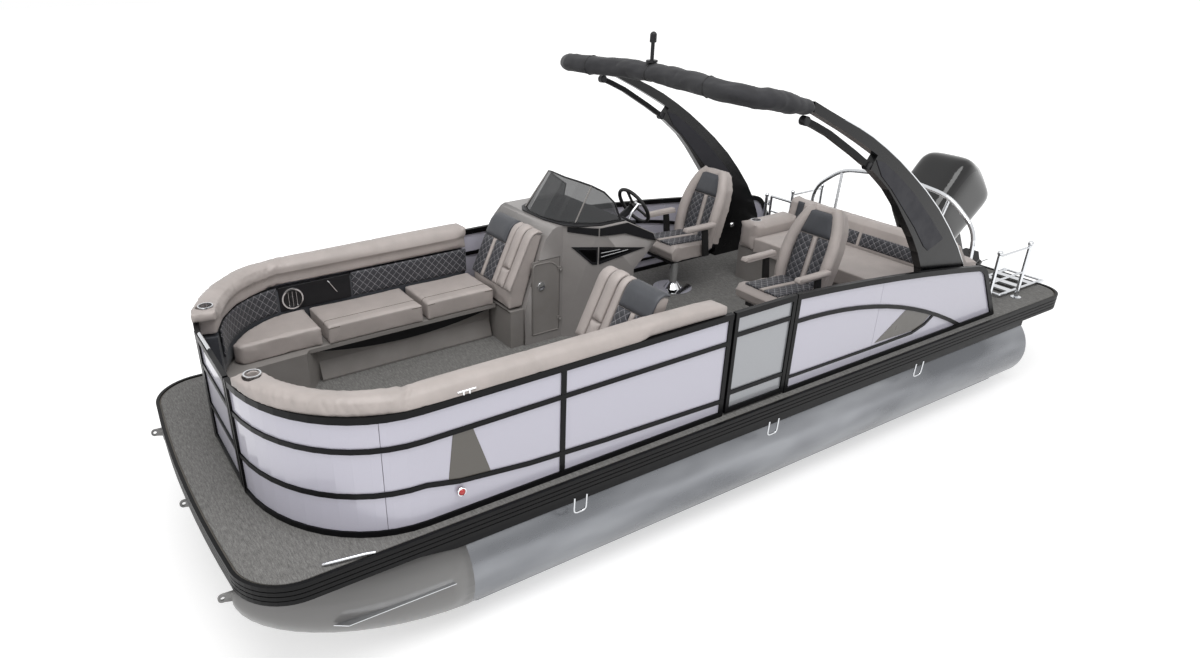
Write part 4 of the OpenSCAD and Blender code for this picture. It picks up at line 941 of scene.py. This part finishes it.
def bucket_seat(name, at, body):
    """Quilt and stripe on a chair's seat."""
    top = FLOOR_Z + PEDESTAL_H + TURN_GAP + FOAM_H
    aft, fore = at.x - 0.205, at.x + 0.215

    def surface(y0, y1):
        def place(u, v):
            x = aft + (fore - aft) * v
            rise_z = 0.025 * min(1, max(0, (x - aft) / 0.44))
            return Vector((x, at.y + y0 + (y1 - y0) * u, top + rise_z)), Vector((-0.06, 0, 1))
        return place
    for part, y0, y1, material, slot, quilt in (
            ("quilt_left", -0.165, -0.024, quilt_vinyl, "vinyl_charcoal", True),
            ("stripe", -0.021, 0.021, taupe_vinyl, "vinyl_taupe", False),
            ("quilt_right", 0.024, 0.165, quilt_vinyl, "vinyl_charcoal", True)):
        panel(f"{name}_seat_{part}", surface(y0, y1), y1 - y0, fore - aft, material, body,
              rise=12, quilt=quilt, step=9, proud=9)


PAN_Z = FLOOR_Z + 0.3505 - 0.0005    # top of the pan under the foam
ARM_Z = FLOOR_Z + 0.6203             # underside of the arm pads
for name in ("helm", "companion"):
    at, body = chair_place(name), name + "_chair"
    seat = name + "_seat"
    pan = keep_below(cad_copy(seat), (0, 0, PAN_Z), (0, 0, 1))
    hard = [(pan, "pan")]
    foam = keep_below(cad_copy(seat), (0, 0, PAN_Z), (0, 0, -1))
    for side in (-1, 1):
        keep_below(foam, (0, at.y + side * 0.239, 0), (0, side, 0))
        tag = "port" if side > 0 else "starboard"
        arm = keep_below(cad_copy(seat), (0, at.y + side * 0.2405, 0), (0, -side, 0))
        keep_below(arm, (0, 0, ARM_Z), (0, 0, 1))
        hard.append((arm, "arm_post_" + tag))
        pad = keep_below(cad_copy(seat), (0, 0, ARM_Z), (0, 0, -1))
        keep_below(pad, (0, at.y, 0), (0, -side, 0))
        cushion(f"{name}_arm_pad_{tag}", pad, taupe_vinyl, body, (seat,),
                voxel=7, slim=4, cap=12, proud=4)
    cushion(f"{name}_seat_pad", foam, taupe_vinyl, body, (seat,), voxel=12,
            slim=8, cap=18, proud=5)
    for part, tag in hard:
        bmesh.ops.recalc_face_normals(part, faces=part.faces)
        piece = piece_from(f"{name}_{tag}", part, soft_black, smooth=False)
        ease(piece, 4, 2)
        settle(piece, body, (seat,))
    cushion(name + "_back_pad", cad_copy(name + "_back"), taupe_vinyl, body,
            (name + "_back",), voxel=12, slim=8, cap=18, proud=5)
    bucket_back(name, at, body)
    bucket_seat(name, at, body)
print("chairs:", len(covers), "covers waiting")

# %% [markdown]
# ## Stern lounge and sun pad
# The stern lounge faces the bow. Its back has a taupe roll over a charcoal quilt, and the sun
# pad behind it slopes down to the stern.

# %% Stern lounge
back_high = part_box("stern_lounge_back")[1]
for part, low, high in islands("stern_lounge_cushion"):
    tag = "arm" if high.y - low.y < 0.4 else "seat_pad"
    cushion("stern_" + tag, part, taupe_vinyl, "hull", ("stern_lounge_cushion",),
            voxel=15, slim=7, cap=18, proud=5,
            grooves=[((0, 0.25, 0), (0, 1, 0), 8, 4)] if tag == "seat_pad" else ())
cushion("stern_back_pad", cad_copy("stern_lounge_back"), taupe_vinyl, "hull",
        ("stern_lounge_back",), voxel=16, slim=8, cap=20, proud=5,
        grooves=[((0, 0.25, 0), (0, 1, 0), 8, 4)])
cushion("stern_sun_pad", cad_copy("sun_pad"), taupe_vinyl, "hull", ("sun_pad",),
        voxel=18, slim=8, cap=20, proud=5,
        grooves=[((0, y, 0), (0, 1, 0), 8, 5) for y in (-0.03, 0.50)])
stern_x = back_high.x - 0.006
for tag, y0, y1 in (("starboard", -0.36, 0.235), ("port", 0.265, 1.03)):
    surface = flat_patch((stern_x, y1, SEAT_Z + 0.004), (stern_x, y0, SEAT_Z + 0.004),
                         (stern_x - 0.024, y1, 1.395), (stern_x - 0.024, y0, 1.395), (1, 0, 0.2))
    panel("stern_back_quilt_" + tag, surface, y1 - y0, 0.115, quilt_vinyl, "hull",
          rise=12, quilt=True, step=10)
stripe = flat_patch((stern_x + 0.001, -0.40, SEAT_Z + 0.004), (stern_x + 0.001, -0.47, SEAT_Z
                    + 0.004), (stern_x - 0.040, -0.40, back_high.z - 0.02), (stern_x - 0.040,
                    -0.47, back_high.z - 0.02), (1, 0, 0.2))
panel("stern_back_stripe", stripe, 0.07, back_high.z - SEAT_Z - 0.02, charcoal_vinyl, "hull",
      rise=8, step=10)
print("stern:", len(covers), "covers waiting")

# %% Canvas boot
boot = cushion("folded_canvas_boot", cad_copy("bimini_boot"), canvas_cloth, "hull",
               ("bimini_boot",), voxel=18, slim=6, cap=16, proud=6)
blow_up()

# %% [markdown]
# ## Helm console
# The console is a gel-coated moulding with soft edges. A dark cowl runs round the windscreen's
# foot and down the ledge, and a black vent sits in the inboard side. The CAD solid is taken
# again with smooth shading, and its steering boss is painted black face by face.

# %% Helm console
HELM_X = -0.080
CONSOLE_Y, CONSOLE_TOP = -0.215, 1.759
WHEEL_AT = Vector((HELM_X - 0.150, -0.620, 1.719))
WHEEL_AXIS = Vector((math.sin(math.radians(120)), 0, math.cos(math.radians(120))))
console = smooth_copy("helm_moulding", "helm_console", gelcoat, "hull", 30)
console.data.materials.append(dash_black)
for face in console.data.polygons:
    off = face.center - WHEEL_AT
    along = off.dot(WHEEL_AXIS)
    if (off - WHEEL_AXIS * along).length < 0.0302 and 0.02 < along:
        face.material_index = 1
rim = [(0.215, -0.236), (0.400, -0.232), (0.560, -0.300), (0.640, -0.385), (0.690, -0.600),
       (0.690, -0.900), (0.640, -0.990), (0.520, -1.060), (0.215, -1.075)]
plate("dash_cowl", [(x, y, CONSOLE_TOP + 0.0005) for x, y in rim] + [(0.165, -1.075, CONSOLE_TOP
      + 0.0005), (0.165, -0.236, CONSOLE_TOP + 0.0005)], (0, 0, 1), 12, dash_black, "hull",
      5)
ledge = [(0.425, 1.752), (0.160, 1.752), (-0.104, 1.617), (-0.134, 1.552), (-0.02, 1.590),
         (0.180, 1.668), (0.425, 1.690)]
plate("ledge_band", [(x, CONSOLE_Y + 0.0005, z) for x, z in ledge], (0, 1, 0), 7, dash_black,
      "hull", 3)
corner = Vector((0.185, 0.206, 0)).normalized()
lift = corner * 0.0005
plate("ledge_band_corner", [Vector(p) + lift for p in ((0.432, -0.219, 1.752), (0.432, -0.219,
      1.690), (0.610, -0.379, 1.712), (0.610, -0.379, 1.752))], corner, 7, dash_black, "hull",
      3)
plate("vent_side", [(-0.030, CONSOLE_Y + 0.0005, 1.515), (0.425, CONSOLE_Y + 0.0005, 1.462),
      (0.425, CONSOLE_Y + 0.0005, 1.604)], (0, 1, 0), 6, dash_black, "hull", 2)
plate("vent_side_inner", [(0.090, CONSOLE_Y + 0.0066, 1.520), (0.418, CONSOLE_Y + 0.0066, 1.490),
      (0.418, CONSOLE_Y + 0.0066, 1.583)], (0, 1, 0), 1.5, cowl_gloss, "hull", 0.4)
bars("vent_strips", [[(0.150, CONSOLE_Y + 0.0095, 1.532), (0.413, CONSOLE_Y + 0.0095, 1.522)],
     [(0.230, CONSOLE_Y + 0.0095, 1.549), (0.413, CONSOLE_Y + 0.0095, 1.553)]], 3, chrome, "hull")
plate("vent_corner", [Vector(p) + lift for p in ((0.432, -0.219, 1.461), (0.462, -0.246, 1.458),
      (0.585, -0.357, 1.592), (0.432, -0.219, 1.604))], corner, 6, dash_black, "hull",
      2)
plate("vent_corner_inner", [Vector(p) + lift + corner * 0.0061 for p in ((0.440, -0.226, 1.484),
      (0.462, -0.246, 1.482), (0.545, -0.320, 1.574), (0.440, -0.226, 1.583))], corner, 1.5,
      cowl_gloss, "hull", 0.4)
slope = Vector((-0.140, 0, 0.270)).normalized()
gauge_x, gauge_z = 0.050, 1.7025
plate("gauge_panel", [(gauge_x + dx, y, gauge_z + dx * 0.5185) for dx, y in
      ((-0.125, -0.900), (0.100, -0.900), (0.100, -0.330), (-0.125, -0.330))], slope, 5,
      dash_black, "hull", 2)
for tag, y, radius in (("speed", -0.500, 44), ("engine", -0.740, 44), ("fuel", -0.405, 26),
                       ("volts", -0.840, 26)):
    spot = Vector((gauge_x, y, gauge_z)) + slope * 0.0051
    turned("gauge_" + tag, [(0, 3), (radius - 6, 3), (radius - 5, 7), (radius, 7), (radius, 0),
           (0, 0)], spot, slope, chrome, "hull")
    turned("gauge_face_" + tag, [(0, 4.2), (radius - 7, 4.2), (radius - 7, 3.1), (0, 3.1)], spot,
           slope, dash_black, "hull")
plate("helm_screen", [(gauge_x + dx, y, gauge_z + dx * 0.5185) for dx, y in ((-0.040, -0.690),
      (0.075, -0.690), (0.075, -0.550), (-0.040, -0.550))], slope, 9, cowl_gloss, "hull",
      2)
head = Vector((0.090, -0.300, 1.7235))
plate("throttle_base", [(0.040, -0.335, 1.6975), (0.140, -0.335, 1.7495), (0.140, -0.265, 1.7495),
      (0.040, -0.265, 1.6975)], slope, 22, dash_black, "hull", 6)
bars("throttle_lever", [rounded([head, head + slope * 0.075, head + slope * 0.115
     + Vector((-0.045, 0, 0.025))], 0.02), [head + slope * 0.112 + Vector((-0.05, -0.045, 0.022)),
     head + slope * 0.112 + Vector((-0.05, 0.030, 0.022))]], 9, stainless, "hull")
turned("wheel_hub", [(0, -34), (22, -33), (34, -27), (41, -16), (42, -14.2), (0, -14.2)],
       WHEEL_AT, WHEEL_AXIS, chrome, "steering_wheel")
print("helm fitted")

# %% Windscreen frame
foot = [(280, -252), (480, -262), (625, -372), (715, -480), (752, -640), (752, -840), (712, -950),
        (600, -1018), (280, -1030)]
top = [(300, -310), (400, -318), (480, -372), (525, -470), (540, -640), (530, -840), (500, -930),
       (430, -964), (300, -970)]
rise = [0.45, 0.78, 0.94, 1, 1, 1, 0.94, 0.78, 0.45]
foot_line = [(HELM_X + x * MM, y * MM, CONSOLE_TOP + 0.010) for x, y in foot]
top_line = [(HELM_X + x * MM, y * MM, CONSOLE_TOP + 0.296 * r) for (x, y), r in zip(top, rise)]
bars("windscreen_foot_seal", [foot_line], 9, rubber, "hull")
bars("windscreen_rim", [[foot_line[0]] + top_line + [foot_line[-1]]], 7, dash_black, "hull")
bars("windscreen_posts", [[foot_line[k], top_line[k]] for k in (2, 6)], 6, moulding, "hull")
print("windscreen framed")

# %% [markdown]
# ## Lounge bases
# Under the seats is a black toe recess with chrome catches, and below it the moulded base flares
# out to the floor. The bow ends have a charcoal inset.

# %% Toe recess, flared base and catches
KICK_Y = 0.735           # face of the bases under the lounges
BIN_X = (1.112, 2.545)
for side, name in SIDES:
    y = side * (KICK_Y - 0.0006)
    deep = [(BIN_X[0] + (BIN_X[1] - BIN_X[0]) * t, 0.985 + 0.075 * (2 * t - 1) ** 2)
            for t in np.linspace(0, 1, 15)]
    outline = [(BIN_X[1], 1.108), (BIN_X[0], 1.108)] + deep
    plate(name + "_toe_recess", [(x, y, z) for x, z in outline], (0, -side, 0), 3, dash_black,
          "hull", 0.8)
    for k, x in enumerate((1.45, 2.10)):
        plate(f"{name}_bin_catch_{k}", [(x + dx, y - side * 0.003, 1.096 + dz) for dx, dz in
              ((-0.022, -0.016), (0.022, -0.016), (0.022, 0.008), (-0.022, 0.008))], (0, -side,
              0), 9, chrome, "hull", 3)
    skirt = [(0.734, 0.978), (0.690, FLOOR_Z + 0.016), (0.692, FLOOR_Z + 0.0004),
             (0.734, FLOOR_Z + 0.0004)]
    plate(name + "_flared_base", [(BIN_X[0] + 0.002, side * y0, z) for y0, z in skirt], (1, 0, 0),
          1430, moulding, "hull", 4)
    near, far = Vector((3.060, side * 0.560, 0)), Vector((3.305, side * 0.384, 0))
    way_out = Vector((-0.583, -side * 0.812, 0))
    inset = [near.lerp(far, t) + Vector((0, 0, z)) + way_out * 0.0006 for t, z in
             ((0.12, 1.128), (0.94, 1.128), (0.94, 1.060), (0.76, 0.985), (0.30, 0.985),
              (0.12, 1.045))]
    plate(name + "_bow_end_inset", inset, way_out, 4, charcoal_vinyl, "hull",
          2)
print("lounge bases fitted")

# %% Speakers between the quilts
for side, name in SIDES:
    face_y = side * (BACK_Y - 0.001)
    x0, x1 = STRAIGHT_X - 0.475, STRAIGHT_X + 0.075
    plate(name + "_speaker_recess", [(x0, face_y, SEAT_Z + 0.006), (x1, face_y, SEAT_Z + 0.006),
          (x1, face_y, BOLSTER_Z + 0.004), (x0, face_y, BOLSTER_Z + 0.004)], (0, -side, 0), 9,
          dash_black, "hull", 4)
    hub = Vector((2.588, face_y - side * 0.009, 1.373))
    turned(name + "_speaker_ring", [(66, 3), (70, 10), (80, 10), (84, 4), (84, 0), (66, 0),
           (66, 3)], hub, (0, -side, 0), chrome, "hull", 40)
    turned(name + "_speaker_cone", [(0, 11), (20, 9), (24, 3), (58, 7), (65, 9), (65.5, 0.2),
           (0, 0.2)], hub, (0, -side, 0), soft_black, "hull", 40)
    bars(name + "_speaker_bars", [[hub + Vector((dx, -side * 0.011, -0.06)),
         hub + Vector((dx, -side * 0.011, 0.06))] for dx in (-0.03, 0, 0.03)], 2, chrome, "hull")
    bars(name + "_grab_fitting", [rounded([(2.312, face_y - side * 0.009, 1.452), (2.300, face_y
         - side * 0.016, 1.440), (2.256, face_y - side * 0.016, 1.366), (2.245, face_y - side
         * 0.009, 1.352)], 0.008)], 5, chrome, "hull")
print("speakers fitted")

# %% [markdown]
# ## Arch, boot and lamps
# A bright edge strip runs down the aft edge of each arch leg, and clamps hold the folded bows.
# The canvas boot gets shallow creases from a smooth noise pushed along its normals.

# %% Arch trim and boot creases
LEG_Y = 1.180
LEAN = 0.06


def on_leg(x, z, side, inset):
    """A point of an arch leg: station and height above the floor in mm, inset in mm."""
    return Vector((x * MM, side * (LEG_Y - (inset + LEAN * z) * MM), FLOOR_Z + z * MM))


aft_edge = [(-2297, 185), (-2255, 351), (-2150, 541), (-2035, 701), (-1875, 881), (-1700, 1056),
            (-1500, 1226), (-1315, 1365), (-1150, 1483), (-990, 1586), (-820, 1686),
            (-671, 1761), (-511, 1833)]
for side, name in SIDES:
    strip = [on_leg(x - 1, z + 1, side, 2) for x, z in aft_edge]
    bars(name + "_arch_edge_strip", [strip], 4.5, bright_aluminium, "hull")
    spot = on_leg(-1905, 300, side, 66)
    turned(name + "_arch_fitting", [(0, 16), (18, 14), (26, 6), (27, 0), (0, 0)], spot,
           (0, -side, 0.06), chrome, "hull", 28)
    for k, (x, z) in enumerate(((-838, 1490), (-170, 1858))):
        turned(f"{name}_bow_clamp_{k}", [(0, 46), (24, 46), (30, 40), (30, -2), (24, -8), (0, -8)],
               on_leg(x, z, side, 50), (0, side, -0.06), dash_black, "hull", 28)
for vert in boot.data.vertices:
    place = Vector((vert.co.x * 14, vert.co.y * 5.5, vert.co.z * 14))
    fold = noise_at.noise(place) + 0.5 * noise_at.noise(place * 2.3)
    vert.co += vert.normal * 9 * MM * fold
for k, y in enumerate((-0.62, 0.0, 0.62)):
    near = [v.co for v in boot.data.vertices if abs(v.co.y - y) < 0.014]
    middle = sum(near, Vector()) / len(near)
    ring = sorted(near, key=lambda c: math.atan2(c.z - middle.z, c.x - middle.x))
    loop = [Vector((middle.x + (c.x - middle.x) * 1.01, y, middle.z + (c.z - middle.z) * 1.01))
            for c in ring[::2]]
    bars(f"boot_strap_{k}", [loop], 4, soft_black, "hull", closed=True)
print("arch trimmed")

# %% Deck fittings
for side, name in SIDES:
    x, y, z = 2.350, side * 1.209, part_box("port_fence")[1].z + 0.0005
    horns = [(x - 0.055, y, z + 0.022), (x + 0.055, y, z + 0.022)]
    feet = [[(x + dx, y, z), (x + dx, y, z + 0.022)] for dx in (-0.018, 0.018)]
    bars(name + "_cleat_0", [horns] + feet, 6, chrome, "hull")
    lens = red_lens if side > 0 else green_lens
    spot = Vector((2.410, side * 1.2205, 0.985))
    turned(name + "_navigation_light", [(0, 17), (12, 15), (19, 9), (21, 3), (21, 0), (0, 0)],
           spot, (0, side, 0), lens, "hull", 28)
    turned(name + "_navigation_bezel", [(21.5, 5), (27, 4), (29, 0), (21.5, 0), (21.5, 5)], spot,
           (0, side, 0), chrome, "hull", 28)
    for k, x in enumerate((1.650, 0.0, -1.615)):
        y = side * 1.300
        bars(f"{name}_fender_hanger_{k}", [rounded([(x + 0.045, y, 0.708), (x + 0.045, y - side
             * 0.004, 0.590), (x - 0.045, y - side * 0.004, 0.590), (x - 0.045, y, 0.708)],
             0.03)], 6, stainless, "hull")
gate_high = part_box("bow_gate")[1]
bars("bow_gate_sleeve", [[(gate_high.x - 0.018, -0.300, gate_high.z + 0.006), (gate_high.x
     - 0.018, -0.040, gate_high.z + 0.006)]], 12, stainless, "bow_gate")
rub_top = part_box("rub_rail")[1].z
for side, name in SIDES:
    bars(name + "_bow_trim", [rounded([(3.230, side * 1.215, rub_top + 0.004), (3.190, side
         * 1.232, rub_top + 0.012), (3.010, side * 1.262, rub_top + 0.012), (2.960, side * 1.268,
         rub_top + 0.004)], 0.03)], 9, stainless, "hull")
door_line = [(0.6690, 0.905), (0.6690, 1.400), (0.690, 1.455), (0.750, 1.492), (0.905, 1.492),
             (0.905, 0.905)]
bars("door_moulding", [rounded([(x, -0.3976, z) for x, z in door_line], 0.03)], 5, moulding,
     "cabinet_door", closed=True)
turned("door_latch", [(0, 5), (20, 5), (24, 8), (34, 8), (37, 3), (37, 0), (0, 0)],
       (0.833, -0.3978, 1.306), (0, 1, 0), chrome, "cabinet_door", 36)
print("deck fittings placed")

# %% [markdown]
# ## Outboard cowl and nose cones
# The cowl is one glossy moulding with no flat faces. The CAD block is remeshed and relaxed until
# its corners flow into each other. The nose cones only need smooth shading.

# %% Cowl and nose cones
cowl = piece_from("outboard_cowl", cad_copy("motor_cowl"), cowl_gloss)
even_mesh(cowl, 30)
bm = bmesh.new()
bm.from_mesh(cowl.data)
for _ in range(14):
    bmesh.ops.smooth_vert(bm, verts=bm.verts, factor=0.5, use_axis_x=True, use_axis_y=True,
                          use_axis_z=True)
middle = sum((v.co for v in bm.verts), Vector()) / len(bm.verts)
bmesh.ops.scale(bm, vec=(1.05, 1.05, 1.05), space=Matrix.Translation(-middle), verts=bm.verts)
bm.to_mesh(cowl.data)
bm.free()
relax = cowl.modifiers.new("round", "SUBSURF")
relax.levels = relax.render_levels = 2
cowl.data.polygons.foreach_set("use_smooth", [True] * len(cowl.data.polygons))
settle(cowl, "motor", ("motor_cowl",))
smooth_copy("nose_cone_skins", "nose_cones", nose_paint, "hull", 50)
print("cowl and noses smooth:", len(cowl.data.polygons), "cowl faces")

# %% Piping
for side, name in SIDES:
    for part in ("fore", "aft"):
        node = name + "_seat_" + part
        low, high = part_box(node)
        piped(f"{name}_seat_piping_{part}", seats[node],
              [((0, side * WELT_Y, 0), (0, 1, 0), lambda c: c.z > SEAT_Z - 0.03),
               ((0, 0, SEAT_Z - 0.016), (0, 0, 1), lambda c, s=side: abs(c.y) < FRONT_Y + 0.02)],
              name + "_lid_" + part)
print("piping sewn")

# %% [markdown]
# ## Studio
# A pale floor under a large soft lamp, with two fill lamps. The floor and the world look
# white to the camera and in reflections, but the light on the boat stays plain.

# %% Floor, lamps and world


def white_rays(tree):
    """1 for rays from the camera, from reflections and through clear material, or else 0."""
    path = add_node(tree, "ShaderNodeLightPath").outputs
    seen = maths(tree, "MAXIMUM", path["Is Camera Ray"], path["Is Glossy Ray"])
    return maths(tree, "MAXIMUM", seen, path["Is Transmission Ray"])


def studio_floor():
    bm = bmesh.new()
    bmesh.ops.create_grid(bm, x_segments=1, y_segments=1, size=60)
    mesh = bpy.data.meshes.new("studio_floor")
    bm.to_mesh(mesh)
    bm.free()
    floor = placed("studio_floor", mesh)
    floor.location.z = cad_box[0][2] - 0.0005
    material, tree, shader, place = finish("studio_paper", "#D2D2D2", 0.9)
    seen = white_rays(tree)
    flat = add_node(tree, "ShaderNodeVectorMath", {0: place, 1: (0.55, 1, 0)},
                    operation="MULTIPLY")
    far = add_node(tree, "ShaderNodeVectorMath", {0: flat.outputs[0]}, operation="LENGTH")
    veil = add_node(tree, "ShaderNodeMapRange", {"Value": far.outputs["Value"], "From Min": 1.6,
                    "From Max": 4.5, "To Min": 0.5, "To Max": 0.85})
    glow = maths(tree, "MULTIPLY", seen, veil.outputs[0])
    shader.inputs["Emission Color"].default_value = (1, 1, 1, 1)
    tree.links.new(glow, shader.inputs["Emission Strength"])
    mesh.materials.append(material)


def lamp(name, at, aim, size, watts, glints=True):
    """A soft lamp turned toward a point."""
    data = bpy.data.lights.new(name, "AREA")
    data.shape = "RECTANGLE"
    data.size, data.size_y = size
    data.energy = watts
    obj = placed(name, data)
    obj.location = at
    obj.rotation_euler = (Vector(aim) - Vector(at)).to_track_quat("-Z", "Y").to_euler()
    obj.visible_glossy = glints


studio_floor()
lamp("key", (2, 3, 9), (0, 0, 0.6), (9, 5), 560)
lamp("fill_port", (3, 11, 3.2), (0, 0, 0.8), (10, 3), 190, False)
lamp("fill_bow", (11, 1.5, 3.5), (0, 0, 0.8), (6, 3), 120, False)

WORLD_LIGHT = 0.46
world = bpy.data.worlds.new("studio")
bpy.context.scene.world = world
world.use_nodes = True
world.node_tree.nodes.clear()
level = maths(world.node_tree, "MULTIPLY_ADD", white_rays(world.node_tree),
              1 - WORLD_LIGHT, WORLD_LIGHT)
sky = add_node(world.node_tree, "ShaderNodeBackground", {"Color": (1, 1, 1, 1),
               "Strength": level})
add_node(world.node_tree, "ShaderNodeOutputWorld", {"Surface": sky.outputs[0]})
bpy.context.scene.view_settings.view_transform = "Standard"
print("studio ready")

# %% [markdown]
# ## Camera
# A raised three-quarter view over the port bow, with a moderately wide lens.

# %% Camera
CAMERA_AT = Vector((4.0771, 4.5425, 3.7182))
YAW, PITCH, ROLL = 4.17611, -0.468497, -0.012875
LENS_MM, SENSOR_MM = 24.602, 36.0

ahead = Vector((math.cos(YAW) * math.cos(PITCH), math.sin(YAW) * math.cos(PITCH),
                math.sin(PITCH)))
level_right = Vector((math.sin(YAW), -math.cos(YAW), 0))
level_up = level_right.cross(ahead)
right = math.cos(ROLL) * level_right + math.sin(ROLL) * level_up
up = -math.sin(ROLL) * level_right + math.cos(ROLL) * level_up
camera_data = bpy.data.cameras.new("camera")
camera_data.lens = LENS_MM
camera_data.sensor_width = SENSOR_MM
camera_data.shift_x = 0.0768
camera_data.shift_y = 0.0201
camera = placed("camera", camera_data)
turn = Matrix((right, up, -ahead)).transposed().to_4x4()
camera.matrix_world = Matrix.Translation(CAMERA_AT) @ turn
bpy.context.scene.camera = camera
print("camera at", tuple(round(v, 3) for v in CAMERA_AT))

# %% Update the scene
bpy.context.view_layer.update()
